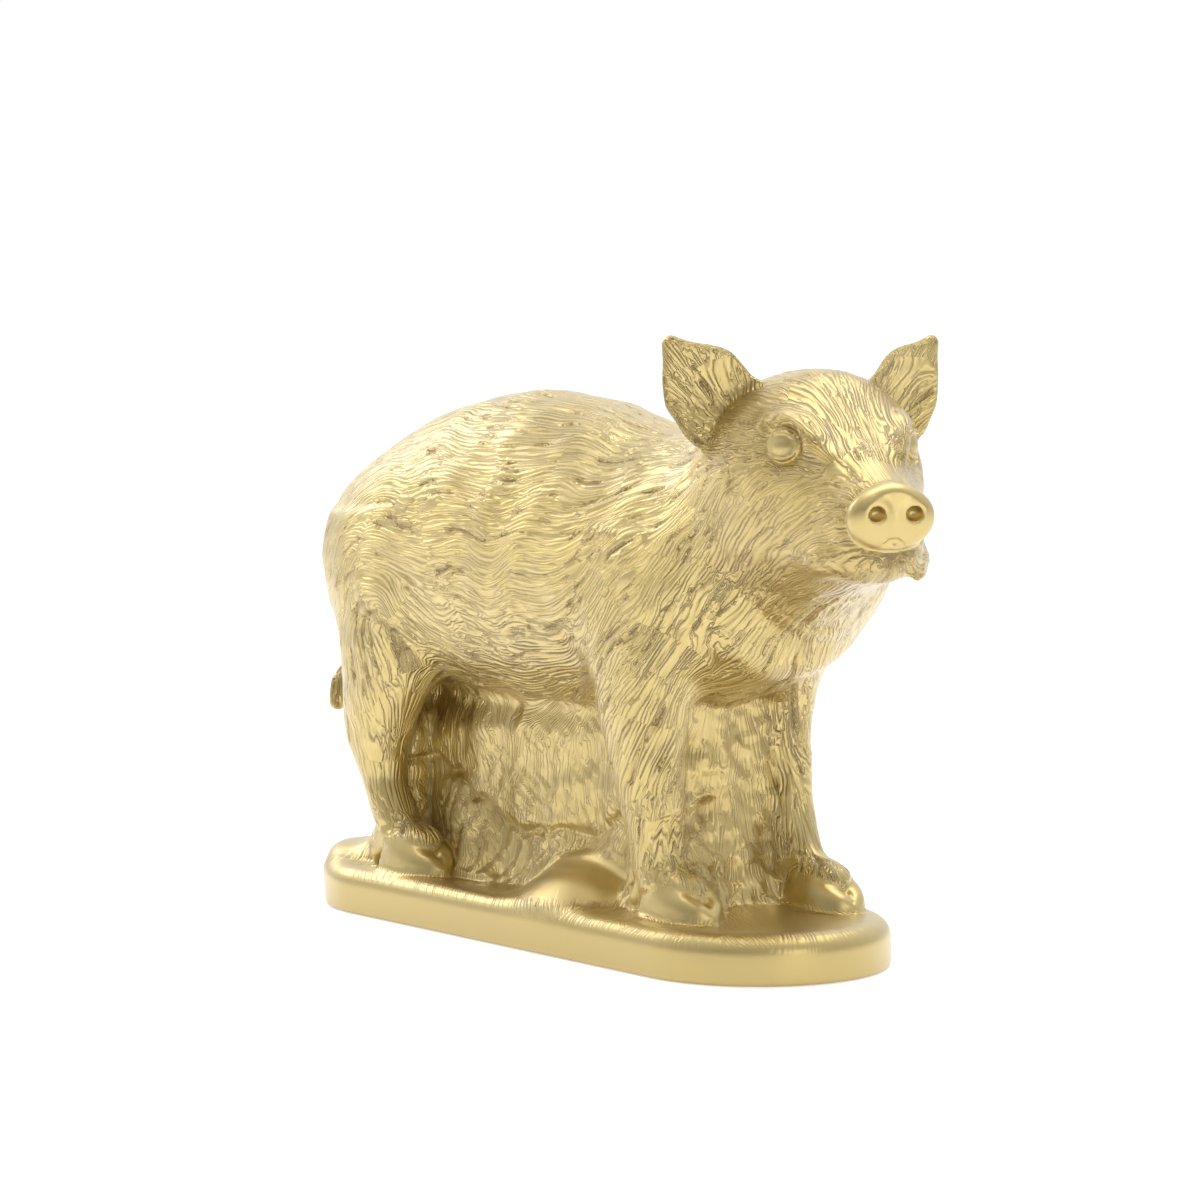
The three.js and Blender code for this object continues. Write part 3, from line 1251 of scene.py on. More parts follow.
HEAD_GUIDES = (
    Guide((98, -2, 254), (-1, 0, 0.5), Axes.HEAD),
    Guide((72, -4, 275), (-0.75, -0.1, 0.65), Axes.HEAD),
    Guide((48, -8, 294), (-0.8, -0.2, 0.55), Axes.HEAD),
    Guide((25, -10, 302), (-1, -0.15, 0.1), Axes.HEAD),
    Guide((0, -12, 302), (-1, 0, -0.1), Axes.HEAD),
    Guide((40, -28, 288), (-0.7, -0.6, 0.4), Axes.HEAD),
    Guide((52, -31, 280), (-0.75, -0.45, 0.45), Axes.HEAD),
    Guide((30, -47, 272), (-0.95, -0.2, 0.05), Axes.HEAD),
    Guide((12, -50, 280), (-0.8, -0.4, 0.3), Axes.HEAD),
    Guide((90, -26, 238), (-1, -0.2, -0.4), Axes.HEAD),
    Guide((70, -35, 245), (-0.85, -0.1, -0.55), Axes.HEAD),
    Guide((48, -43, 245), (-0.75, 0, -0.65), Axes.HEAD),
    Guide((25, -53, 240), (-0.65, 0, -0.75), Axes.HEAD),
    Guide((78, -29, 214), (-0.9, -0.1, -0.35), Axes.HEAD),
    Guide((45, -40, 210), (-0.85, 0, -0.5), Axes.HEAD),
    Guide((15, -50, 210), (-0.75, 0, -0.65), Axes.HEAD),
    Guide((-10, -56, 240), (-0.75, 0, -0.65), Axes.HEAD),
    Guide((-25, -58, 215), (-0.7, 0, -0.7), Axes.HEAD),
    Guide((-25, -52, 262), (-0.9, 0, -0.4), Axes.HEAD),
    Guide((-30, -20, 284), (-1, 0, -0.1), Axes.HEAD),
    Guide((85, -4, 203), (-1, -0.2, -0.1), Axes.HEAD),
    Guide((40, -8, 190), (-0.95, -0.3, -0.2), Axes.HEAD),
    Guide((10, -20, 178), (-0.7, -0.4, -0.6), Axes.HEAD),
)


@dataclass(frozen=True)
class Stroke:
    """Sizes of the modelled strokes of one zone.

    Attributes:
        count: How many strokes there are.
        half_width: Half the width of a stroke in its middle, least and most.
        length: Shortest and longest stroke.
        depth: Height of a stroke over the hollow beside it.
    """

    count: int
    half_width: tuple[float, float]
    length: tuple[float, float]
    depth: float


class Coat:
    """Modelled fur: strokes that lie along the guides, wave together and overlap."""

    # Length of a step along a stroke, from one wave to the next, and half a wave's width
    STEP = 1.3
    WAVE = 74.0
    SWING = 2.8
    # Share of the waves that legs and face keep, and how far and how often the waves run out of step
    STILL = 0.1
    DRIFT = 1.5
    DRIFT_SIZE = 95.0
    # Softness of the guides in square millimetres, spread of an ear's fan, and stray of a stroke in radians
    SOFTNESS = 220.0
    FAN = 0.6
    STRAY = 0.08

    def __init__(self, clay: Clay) -> None:
        """A coat for the clay's surface.

        Args:
            clay: The finished clay.
        """
        pairs = [pair for guide in (*BODY_GUIDES, *HEAD_GUIDES) for pair in guide.both()]
        self.places = np.array([place for place, _ in pairs])
        self.ways = unit(np.array([way for _, way in pairs]))
        self.clay = clay
        self.random = np.random.default_rng(SEED)

    def flow(self, points: Array, normals: Array) -> Array:
        """The way the hair lies, along the surface.

        Each guide counts by its nearness: (distance² + softness) to the power -2. Ears have a fan of
        their own from the root to the edge.

        Args:
            points: Places on the surface.
            normals: The surface's outward directions there.

        Returns:
            One direction of length one for each point.
        """
        square = (points**2).sum(axis=1)[:, None] + (self.places**2).sum(axis=1) - 2 * points @ self.places.T
        way = unit((square + self.SOFTNESS) ** -2.0 @ self.ways)
        for side in Side:
            leaf = EarLeaf(side)
            _, along, across, _ = leaf.frame()
            share, over, lift = leaf.local(columns(points))
            fan = unit(unit(along) + across * (self.FAN * over)[:, None])
            on_leaf = (1 - fade(np.abs(lift), 7, 12)) * (1 - fade(np.abs(over), 1.2, 1.5))
            near = on_leaf * fade(share, -0.05, 0.2)
            way = way + (fan - way) * near[:, None]
        return unit(way - normals * np.sum(way * normals, axis=1, keepdims=True))

    def sway(self, points: Array) -> tuple[Array, Array]:
        """The waves of the hair: a sine along the body, wide on the trunk and faint on legs and face.

        Args:
            points: Places on the surface.

        Returns:
            How far a strand is shifted sideways in millimetres, and how far it turns in radians.
        """
        ahead, _, height = to_head(columns(points))
        on_trunk = fade(height, 130, 175) * (1 - fade(ahead, -40, 0))
        swing = self.SWING * (self.STILL + (1 - self.STILL) * on_trunk)
        pitch = 2 * math.pi / self.WAVE
        phase = -points[:, 0] * pitch + self.DRIFT * Grain(self.DRIFT_SIZE, SEED + 1)(points)
        return swing * np.sin(phase), swing * pitch * np.cos(phase)

    def trace(self, starts: Array, style: Stroke) -> tuple[Array, Array, Array]:
        """Strokes followed over the surface from their starts.

        Args:
            starts: Where the strokes begin.
            style: Their sizes.

        Returns:
            Places and ways, one row of steps for each stroke, and each stroke's number of steps.
        """
        steps = int(style.length[1] / self.STEP)
        run = (self.random.uniform(*style.length, len(starts)) / self.STEP).astype(int)
        own = self.random.normal(0, self.STRAY, len(starts))
        place, places, ways = starts.copy(), [], []
        for _ in range(steps):
            normal = self.clay.slope(place)
            way = self.flow(place, normal)
            turn = self.sway(place)[1] + own
            way = way * np.cos(turn)[:, None] + np.cross(normal, way) * np.sin(turn)[:, None]
            places.append(place.copy())
            ways.append(way)
            place = place + way * self.STEP
            place = place - normal * self.clay.at(place)[:, None]
        return np.stack(places, axis=1), np.stack(ways, axis=1), run

    def heights(self, points: Array, starts: Array, style: Stroke) -> Array:
        """Height of the strokes over the surface at its points.

        A stroke is a half-round ridge that starts blunt and ends in a point. Where strokes overlap,
        the highest one shows.

        Args:
            points: The surface's points.
            starts: Where the strokes begin.
            style: Their sizes.

        Returns:
            One height for each point, nought between the strokes.
        """
        places, ways, run = self.trace(starts, style)
        count, steps = places.shape[:2]
        share = np.arange(steps)[None] / np.maximum(run, 1)[:, None]
        shape = np.clip(np.minimum(share / 0.2 + 0.35, (1.05 - share) / 0.55), 0, 1) ** 0.7
        width = self.random.uniform(*style.half_width, count)[:, None] * shape
        level = self.random.uniform(0, 0.55, count)[:, None] * style.depth * shape
        live = (share <= 1) & (width > 0.25)
        return stamp(points, places[live], ways[live], width[live], level[live], style.depth)


def stamp(points: Array, places: Array, ways: Array, width: Array, level: Array, depth: float) -> Array:
    """Presses short pieces of strokes onto the points near them.

    The points are sorted into cells as wide as the widest stroke, so that each piece meets only the
    points of the cells around it. A point takes the highest of level + depth * sqrt(1 - (aside / width)²).

    Args:
        points: The surface's points.
        places: Middles of the pieces.
        ways: Their directions.
        width: Their half widths.
        level: Height of each piece's foot.
        depth: Height of a full-width ridge.

    Returns:
        One height for each point.
    """
    cell = float(width.max()) * 1.02
    low = points.min(axis=0) - 2 * cell
    size = ((points.max(axis=0) - low) / cell).astype(int) + 4
    place_value = np.array([size[1] * size[2], size[2], 1])
    point_key = ((points - low) / cell).astype(int) @ place_value
    order = np.argsort(point_key, kind="stable")
    sorted_key = point_key[order]
    home = ((places - low) / cell).astype(int)
    height = np.zeros(len(points))
    for shift in np.ndindex(3, 3, 3):
        key = (home + np.array(shift) - 1) @ place_value
        first, last = np.searchsorted(sorted_key, key, "left"), np.searchsorted(sorted_key, key, "right")
        number = last - first
        piece = np.repeat(np.arange(len(places)), number)
        begin = np.repeat(first - np.cumsum(number) + number, number)
        point = order[begin + np.arange(len(piece))]
        offset = points[point] - places[piece]
        along = np.sum(offset * ways[piece], axis=1)
        ratio = (np.sum(offset * offset, axis=1) - along * along) / width[piece] ** 2
        near = (ratio < 1) & (np.abs(along) < Coat.STEP)
        ridge = depth * np.sqrt(1 - ratio[near]) * np.minimum(1, width[piece[near]])
        np.maximum.at(height, point[near], level[piece[near]] + ridge)
    return height


# Meshes


def new_object(name: str, points: Array, faces: Array) -> bpy.types.Object:
    """An object at the origin.

    Args:
        name: Name of the object and of its mesh.
        points: The mesh's points in millimetres.
        faces: Numbers of the points of each face.

    Returns:
        The object, linked to the scene.
    """
    mesh = bpy.data.meshes.new(name)
    mesh.from_pydata(points * MM, [], faces.tolist())
    mesh.update()
    made = bpy.data.objects.new(name, mesh)
    bpy.context.scene.collection.objects.link(made)
    return made


def read_points(mesh: bpy.types.Mesh) -> Array:
    """Where the mesh's points are.

    Args:
        mesh: The mesh.

    Returns:
        One row of millimetres for each point.
    """
    flat = np.empty(len(mesh.vertices) * 3, np.float32)
    mesh.vertices.foreach_get("co", flat)
    return flat.reshape(-1, 3).astype(float) / MM


def read_normals(mesh: bpy.types.Mesh) -> Array:
    """The outward direction at each of the mesh's points.

    Args:
        mesh: The mesh.

    Returns:
        One row of length one for each point.
    """
    flat = np.empty(len(mesh.vertices) * 3, np.float32)
    mesh.vertex_normals.foreach_get("vector", flat)
    return flat.reshape(-1, 3).astype(float)


def write_attribute(mesh: bpy.types.Mesh, name: str, values: Array) -> None:
    """Stores a number or a vector at each of the mesh's points."""
    kind, field = ("FLOAT", "value") if values.ndim == 1 else ("FLOAT_VECTOR", "vector")
    mesh.attributes.new(name, kind, "POINT").data.foreach_set(field, values.astype(np.float32).ravel())


def write_points(mesh: bpy.types.Mesh, points: Array) -> None:
    """Moves the mesh's points to places in millimetres."""
    mesh.vertices.foreach_set("co", (points * MM).astype(np.float32).ravel())
    mesh.update()


def bake_modifiers(target: bpy.types.Object) -> None:
    """Replaces the object's mesh with the one its modifiers make, and clears them.

    Args:
        target: The object.
    """
    graph = bpy.context.evaluated_depsgraph_get()
    made = bpy.data.meshes.new_from_object(target.evaluated_get(graph))
    target.modifiers.clear()
    target.data = made


# Finishes


def linear(colour: str) -> tuple[float, float, float, float]:
    """An sRGB hex colour as the linear colour that a shader takes.

    Args:
        colour: A mark and six hex digits.

    Returns:
        Red, green, blue and a full alpha.
    """
    parts = np.array([int(colour[k : k + 2], 16) for k in (1, 3, 5)]) / 255
    value = np.where(parts <= 0.04045, parts / 12.92, ((parts + 0.055) / 1.055) ** 2.4)
    return (*map(float, value), 1.0)


def add_node(
    tree: bpy.types.NodeTree, kind: str, inputs: dict | None = None, **settings: object
) -> bpy.types.Node:
    """Adds a node with its settings.

    Args:
        tree: The material's or the world's nodes.
        kind: The node's type.
        inputs: Socket name or number to a value, or to an output that is linked to it.
        settings: The node's own properties.

    Returns:
        The node.
    """
    node = tree.nodes.new(kind)
    for name, value in settings.items():
        setattr(node, name, value)
    for name, value in (inputs or {}).items():
        if isinstance(value, bpy.types.NodeSocket):
            tree.links.new(value, node.inputs[name])
        else:
            node.inputs[name].default_value = value
    return node


@dataclass(frozen=True)
class GoldLacquer:
    """Satin gold lacquer sprayed over a cast body: pale on the ridges, with painted shade that darkens it in
    the hollows.

    Attributes:
        ridge: Colour of the ridges, where the painted shade is least.
        hollow: Darker colour at the bottom of strokes and strands, painted shade in the hollows.
        gloss: Roughness of the ridges and of the hollows.
        coat: Weight and roughness of the clear coat, which pales the highlights.
        strand: Usual width and length of the finest strands of hair, in millimetres.
        waver: Width and length of the swells that push strands aside, in millimetres, and how far.
        broken: Uneven value where strands start to be cut, where they are cut fully, and the least cut.
        uncut: Height between broken strands, as a share of a strand's.
        plain: Height that counts where no hair is cut.
        tuft: Distance from one tuft to the next, in millimetres.
        tuft_shape: How tufts are stretched, along the body most.
        own_start: How far apart the counts of two tufts can start, in millimetres.
        depth: How deep the finest strands are cut, in millimetres.
    """

    ridge: str = "#D4BE7C"
    hollow: str = "#9C8140"
    gloss: tuple[float, float] = (0.34, 0.46)
    coat: tuple[float, float] = (1.0, 0.38)
    strand: tuple[float, float] = (2.3, 26.0)
    waver: Triple = (7.0, 30.0, 6.0)
    broken: Triple = (0.3, 0.6, 0.1)
    uncut: float = 0.8
    plain: float = 0.85
    tuft: float = 26.0
    tuft_shape: Triple = (0.55, 1.0, 1.0)
    own_start: float = 300.0
    depth: float = 0.8

    def tufts(self, tree: bpy.types.NodeTree) -> tuple[bpy.types.NodeSocket, bpy.types.NodeSocket]:
        """Millimetres across and along the hair, counted anew in each tuft.

        Tufts are the cells around scattered points. A place's offset from its cell's point is measured
        along the two ways that the mesh stores, and each cell starts at a count of its own.

        Args:
            tree: The material's nodes.

        Returns:
            Distance across and distance along.
        """
        vector, number = "ShaderNodeVectorMath", "ShaderNodeMath"
        place = add_node(tree, "ShaderNodeTexCoord").outputs["Object"]
        place = add_node(tree, vector, {0: place, 1: self.tuft_shape}, operation="MULTIPLY").outputs[0]
        cells = add_node(tree, "ShaderNodeTexVoronoi", {"Vector": place, "Scale": 1 / (self.tuft * MM)})
        middle = cells.outputs["Position"]
        offset = add_node(tree, vector, {0: place, 1: middle}, operation="SUBTRACT").outputs[0]
        back = tuple(1 / (part * MM) for part in self.tuft_shape)
        offset = add_node(tree, vector, {0: offset, 1: back}, operation="MULTIPLY").outputs[0]
        sway = add_node(tree, "ShaderNodeAttribute", attribute_name="sway").outputs["Fac"]
        start = add_node(tree, "ShaderNodeSeparateColor", {0: cells.outputs["Color"]})
        counted = []
        for name, own in (("aside", start.outputs[0]), ("lie", start.outputs[1])):
            way = add_node(tree, "ShaderNodeAttribute", attribute_name=name).outputs["Vector"]
            length = add_node(tree, vector, {0: offset, 1: way}, operation="DOT_PRODUCT").outputs["Value"]
            count = add_node(tree, number, {0: own, 1: self.own_start, 2: length}, operation="MULTIPLY_ADD")
            counted.append(count.outputs[0])
        across = add_node(tree, number, {0: counted[0], 1: sway}, operation="SUBTRACT").outputs[0]
        return across, counted[1]

    def stretched_noise(
        self, tree: bpy.types.NodeTree, comb: bpy.types.NodeSocket, size: Row
    ) -> bpy.types.NodeSocket:
        """Soft uneven values along the hair.

        Args:
            tree: The material's nodes.
            comb: Millimetres across and along the hair.
            size: Usual width and length of a swell.

        Returns:
            Values of 0 to 1.
        """
        stretch = (1 / size[0], 1 / size[1], 0)
        place = add_node(tree, "ShaderNodeVectorMath", {0: comb, 1: stretch}, operation="MULTIPLY")
        inputs = {"Vector": place.outputs[0], "Scale": 1.0, "Detail": 1.0}
        return add_node(tree, "ShaderNodeTexNoise", inputs, noise_dimensions="2D").outputs["Fac"]

    def strands(self, tree: bpy.types.NodeTree) -> bpy.types.NodeSocket:
        """Height of the finest strands.

        A strand is an arch |sin(pi * across / width + waver)|, cut off here and there by uneven values.

        Args:
            tree: The material's nodes.

        Returns:
            Height of 0 to 1.
        """
        number = "ShaderNodeMath"
        across, along = self.tufts(tree)
        comb = add_node(tree, "ShaderNodeCombineXYZ", {"X": across, "Y": along}).outputs[0]
        waver = self.stretched_noise(tree, comb, self.waver[:2])
        pitch = math.pi / self.strand[0]
        turn = add_node(tree, number, {0: across, 1: pitch}, operation="MULTIPLY").outputs[0]
        pushed = {0: waver, 1: self.waver[2], 2: turn}
        turn = add_node(tree, number, pushed, operation="MULTIPLY_ADD").outputs[0]
        wave = add_node(tree, number, {0: turn}, operation="SINE").outputs[0]
        arch = add_node(tree, number, {0: wave}, operation="ABSOLUTE").outputs[0]
        start, full, least = self.broken
        broken = {"From Min": start, "From Max": full, "To Min": least, "To Max": 1.0}
        broken["Value"] = self.stretched_noise(tree, comb, self.strand)
        cut = add_node(tree, "ShaderNodeMapRange", broken).outputs["Result"]
        heights = {"Factor": cut, "A": self.uncut, "B": arch}
        return add_node(tree, "ShaderNodeMix", heights, data_type="FLOAT").outputs["Result"]

    def build(self) -> bpy.types.Material:
        """The material.

        It reads from the mesh the ways of the hair and its waves, the height of the modelled strokes
        (relief), and how deep the finest strands are cut (combed).

        Returns:
            The material, a metal under a clear coat.
        """
        material = bpy.data.materials.new("satin_gold_lacquer")
        material.use_nodes = True
        tree = material.node_tree
        shader = tree.nodes["Principled BSDF"]
        shader.inputs["Metallic"].default_value = 1.0
        shader.inputs["Coat Weight"].default_value = self.coat[0]
        shader.inputs["Coat Roughness"].default_value = self.coat[1]
        mix = "ShaderNodeMix"
        relief = add_node(tree, "ShaderNodeAttribute", attribute_name="relief").outputs["Fac"]
        combed = add_node(tree, "ShaderNodeAttribute", attribute_name="combed").outputs["Fac"]
        height = self.strands(tree)
        heights = {"Factor": combed, "A": self.plain, "B": height}
        ridge = add_node(tree, mix, heights, data_type="FLOAT").outputs["Result"]
        halves = {"Factor": 0.5, "A": relief, "B": ridge}
        level = add_node(tree, mix, halves, data_type="FLOAT").outputs["Result"]
        # Painted shade: the colour darkens from the ridge colour to the hollow colour as strokes and strands
        # sink.
        painted_shade_colours = {"Factor": level, "A": linear(self.hollow), "B": linear(self.ridge)}
        colour = add_node(tree, mix, painted_shade_colours, data_type="RGBA")
        tree.links.new(colour.outputs["Result"], shader.inputs["Base Color"])
        ends = {"Value": level, "To Min": self.gloss[1], "To Max": self.gloss[0]}
        gloss = add_node(tree, "ShaderNodeMapRange", ends)
        tree.links.new(gloss.outputs["Result"], shader.inputs["Roughness"])
        carved = add_node(tree, "ShaderNodeMath", {0: height, 1: combed}, operation="MULTIPLY").outputs[0]
        cut = {"Height": carved, "Strength": 1.0, "Distance": self.depth * MM}
        bump = add_node(tree, "ShaderNodeBump", cut)
        tree.links.new(bump.outputs["Normal"], shader.inputs["Normal"])
        return material


@dataclass(frozen=True)
class StudioPaper:
    """The plain white paper that the piglet stands on."""

    colour: str = "#F4F4F5"
    roughness: float = 0.8
    glow: float = 0.38

    def build(self) -> bpy.types.Material:
        """A matt white, lit a little from behind so that it stays white to the horizon.

        Returns:
            The material.
        """
        material = bpy.data.materials.new("studio_paper")
        material.use_nodes = True
        shader = material.node_tree.nodes["Principled BSDF"]
        shader.inputs["Base Color"].default_value = linear(self.colour)
        shader.inputs["Roughness"].default_value = self.roughness
        shader.inputs["Emission Color"].default_value = linear(self.colour)
        shader.inputs["Emission Strength"].default_value = self.glow
        return material


# The finished piece


@dataclass(frozen=True)
class Folds:
    """Height of the rough clay under the belly.

    Soft lumps hang over a crease, which sags between the legs. Pleats run down from the crease, and
    the clay falls back under the belly. Between the forelegs it is crumpled instead.

    Attributes:
        crease: Height of the crease in its middle, its rise to the hind leg and its rise to the foreleg.
        hind: Distance behind the middle where the rise to the hind leg starts and ends.
        fore: Distance ahead of the middle where the rise to the foreleg starts and ends.
        front: X where the long side ends and the clay between the forelegs starts.
        stray: How far the crease strays up and down.
        crease_cut: Depth and half width of the crease.
        shade_cut: Height, depth and half width of the hollow under the belly.
        lump: Height of the broad lumps, and depth of the furrows between small ones.
        grit: Height of the grit.
        pleat: Height of the pleats, and distance from one to the next.
        pleat_ends: How far below the crease the pleats are full, and where they start.
        crumple: Depth of the crumples.
    """

    crease: Triple = (55.0, 27.0, 10.0)
    hind: tuple[float, float] = (40.0, 110.0)
    fore: tuple[float, float] = (10.0, 60.0)
    front: tuple[float, float] = (70.0, 85.0)
    stray: float = 2.5
    crease_cut: tuple[float, float] = (3.0, 3.0)
    shade_cut: Triple = (121.0, 4.0, 9.0)
    lump: tuple[float, float] = (2.2, 0.9)
    grit: float = 0.22
    pleat: tuple[float, float] = (1.6, 13.0)
    pleat_ends: tuple[float, float] = (-14.0, -3.0)
    crumple: float = 1.2

    def __call__(self, points: Array) -> Array:
        """Height of the folds.

        Args:
            points: Places on the clay.

        Returns:
            Millimetres over the smooth wall, one for each point.
        """
        x, _, z = columns(points)
        middle, to_hind, to_fore = self.crease
        foot = middle + to_hind * fade(-x, *self.hind) + to_fore * fade(x, *self.fore)
        foot = foot + self.stray * Grain(24, SEED + 12)(points)
        long_side = 1 - fade(x, *self.front)
        broad, furrow = self.lump
        lumps = broad * Grain(42, SEED + 7)(points) - furrow * np.abs(Grain(20, SEED + 8)(points))
        grit = self.grit * Grain(6, SEED + 9)(points)
        deep, wide = self.crease_cut
        crease = deep * long_side * np.exp(-(((z - foot) / wide) ** 2))
        height, deep, wide = self.shade_cut
        shade = deep * long_side * np.exp(-(((z - height) / wide) ** 2))
        crumple = self.crumple * (1 - long_side) * np.abs(Grain(18, SEED + 13)(points))
        tall, pitch = self.pleat
        wave = np.abs(np.sin(math.pi * x / pitch + Grain(30, SEED + 11)(points)))
        pleats = tall * wave * (1 - fade(z - foot, *self.pleat_ends))
        return lumps + grit - crease - shade + pleats - crumple


@dataclass(frozen=True)
class Relief:
    """The modelling over the smooth form, one value for each point.

    Attributes:
        lift: Its height in millimetres.
        ridge: How much a point counts as ridge, from 0 to 1; low values get painted shade in the lacquer.
        combed: How deep the finest strands are cut, from 0 to 1.
    """

    lift: Array
    ridge: Array
    combed: Array


@dataclass(frozen=True)
class Piglet:
    """The whole casting.

    Attributes:
        low: Lowest corner of the room it is modelled in.
        high: Highest corner.
        step: Distance between the points of the clay's grid.
        softening: How often the clay is rounded before the crisp forms go on.
        triangles: Most triangles of the finished mesh.
        body: Trunk, neck and tail.
        head: The head.
        ground: Plinth and rough clay.
        folds: The rough clay's folds.
        nose_back: Where the back of the nose is almost bare.
        fur: Strokes of the body.
        face_fur: Strokes of the face.
        pressed: How far the skin between strokes lies under the smooth form.
        crest: Height of a stroke that counts fully as ridge.
        swells: Height and size of the soft swells under the fur, broad and small.
        finish: The lacquer.
    """

    low: Triple = (-216.0, -84.0, -6.0)
    high: Triple = (294.0, 92.0, 332.0)
    step: float = 1.0
    softening: int = 3
    triangles: int = 192_000
    body: Body = Body()
    head: Head = Head()
    ground: Ground = Ground()
    folds: Folds = Folds()
    nose_back: Egg = Egg((97, 0, 254), (15, 9, 8), Axes.HEAD)
    fur: Stroke = Stroke(6500, (1.6, 2.6), (24, 50), 0.7)
    face_fur: Stroke = Stroke(2400, (1.0, 1.7), (14, 30), 0.35)
    pressed: float = 0.5
    crest: float = 0.95
    swells: tuple[tuple[float, float], tuple[float, float]] = ((0.4, 38.0), (0.2, 16.0))
    finish: GoldLacquer = GoldLacquer()

    def model(self) -> Clay:
        """All forms joined in the order a modeller lays them on.

        Returns:
            The clay, with the forms that stay crisp added last.
        """
        clay = Clay(self.low, self.high, self.step)
        self.body.build(clay)
        for leg in LEGS:
            leg.build(clay)
        self.head.build(clay)
        self.ground.build(clay)
        clay.soften(self.softening)
        self.body.hang_tail(clay)
        for leg in LEGS:
            leg.shoe(clay)
        self.head.finish_face(clay)
        return clay

    def bare(self, points: Array) -> Array:
        """How bare of fur the surface is: fully on snout, eyes, hooves, mounds and plinth.

        Args:
            points: The surface's points.

        Returns:
            A share of 0 to 1 for each point.
        """
        at = columns(points)
        smooth = [Disc(), self.ground.slab]
        smooth += [self.head.ball(side) for side in Side]
        smooth += [Claw(leg.foot, side) for leg in LEGS for side in Side]
        smooth += [leg.dewclaw(side) for leg in LEGS for side in Side]
        nearest = np.min([form.distance(at) for form in smooth], axis=0)
        nose = self.nose_back.distance(at)
        mound = np.min([lump.distance(at) for lump in self.ground.lumps], axis=0)
        bare = np.maximum(1 - fade(nearest, 0.6, 3.5), 0.8 * (1 - fade(nose, -2, 4)))
        return np.maximum(bare, 1 - fade(mound, 6, 14))

    def clay_wall(self, points: Array) -> Array:
        """How much of the surface is the rough clay between the legs.

        Args:
            points: The surface's points.

        Returns:
            A share of 0 to 1 for each point.
        """
        at = columns(points)
        walls = np.min([wall.distance(at) for wall in self.ground.wall_forms()], axis=0)
        flesh = np.min([self.body.trunk.distance(at), *[leg.limb().distance(at) for leg in LEGS]], axis=0)
        hooves = np.min([Claw(leg.foot, side).distance(at) for leg in LEGS for side in Side], axis=0)
        return (1 - fade(walls, 2, 7)) * fade(np.minimum(flesh, hooves), 0.5, 4)

    def relief(self, coat: Coat, points: Array) -> Relief:
        """The modelling over the smooth form: strokes and swells of fur, and folds of clay.

        Args:
            coat: The combed fur.
            points: The surface's points.

        Returns:
            Height, ridges and cut of the strands.
        """
        bare = self.bare(points)
        wall = (1 - bare) * self.clay_wall(points)
        furred = (1 - bare) * (1 - wall)
        ahead, _, height = to_head(columns(points))
        face = fade(ahead, 0, 30) * fade(height, 180, 200)
        strokes = np.zeros(len(points))
        for weight, style in (((1 - face) * furred, self.fur), (face * furred, self.face_fur)):
            starts = points[coat.random.choice(len(points), style.count, p=weight / weight.sum())]
            strokes = np.maximum(strokes, coat.heights(points, starts, style))
        (broad, broad_size), (small, small_size) = self.swells
        swell = broad * Grain(broad_size, SEED + 5)(points) + small * Grain(small_size, SEED + 6)(points)
        lift = furred * (strokes - self.pressed + swell) + wall * self.folds(points)
        # Share of ridge for the painted shade of the hollows; on the clay wall its level also varies at
        # random.
        uneven = 0.7 + 0.2 * wall * Grain(9, SEED + 10)(points)
        top = (1 - fade(self.ground.slab.distance(columns(points)), 1, 4)) * fade(points[:, 2], 14, 24)
        return Relief(
            lift=lift * fade(points[:, 2], 6, 16),
            ridge=np.clip(uneven + furred * (strokes / self.crest - uneven), 0, 1),
            combed=(1 - bare) * (1 - 0.6 * wall) + 0.3 * top,
        )

    def build(self) -> bpy.types.Object:
        """Models, combs, thins out and dresses the casting.

        Returns:
            The finished piece.
        """
        clay = self.model()
        piece = new_object("piglet", *clay.surface())
        LOG.info("clay surface has %d points", len(piece.data.vertices))
        points, normals = read_points(piece.data), read_normals(piece.data)
        coat = Coat(clay)
        relief = self.relief(coat, points)
        points = points + normals * relief.lift[:, None]
        points[:, 2] = np.maximum(points[:, 2], 0)
        write_points(piece.data, points)
        # The share of ridge, stored as relief, sets the lacquer's painted shade.
        write_attribute(piece.data, "relief", relief.ridge)
        write_attribute(piece.data, "combed", relief.combed)
        thin = piece.modifiers.new("thin", "DECIMATE")
        thin.ratio = self.triangles / (2 * len(piece.data.polygons))
        thin.use_collapse_triangulate = True
        bake_modifiers(piece)
        points, normals = read_points(piece.data), read_normals(piece.data)
        lie = coat.flow(points, normals)
        write_attribute(piece.data, "lie", lie)
        write_attribute(piece.data, "aside", np.cross(normals, lie))
        write_attribute(piece.data, "sway", coat.sway(points)[0])
        piece.data.shade_smooth()
        piece.data.materials.append(self.finish.build())
        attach(piece, "root")
        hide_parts(NODE)
        LOG.info("piglet has %d triangles", len(piece.data.polygons))
        return piece


@dataclass(frozen=True)
class SoftBox:
    """A square lamp that faces the piglet.

    Attributes:
        name: The lamp's name.
        place: Where it hangs.
        size: Its width.
        power: Its power in watts.
        target: Where it points.
    """

    name: str
    place: Triple
    size: float
    power: float
    target: Triple = (0.0, 0.0, 180.0)

    def build(self) -> None:
        """Hangs the lamp and turns it."""
        data = bpy.data.lights.new(self.name, "AREA")
        data.size, data.energy = self.size * MM, self.power
        made = bpy.data.objects.new(self.name, data)
        bpy.context.scene.collection.objects.link(made)
        made.location = Vector(self.place) * MM
        made.rotation_mode = "QUATERNION"
        made.rotation_quaternion = (Vector(self.target) - Vector(self.place)).to_track_quat("-Z", "Y")


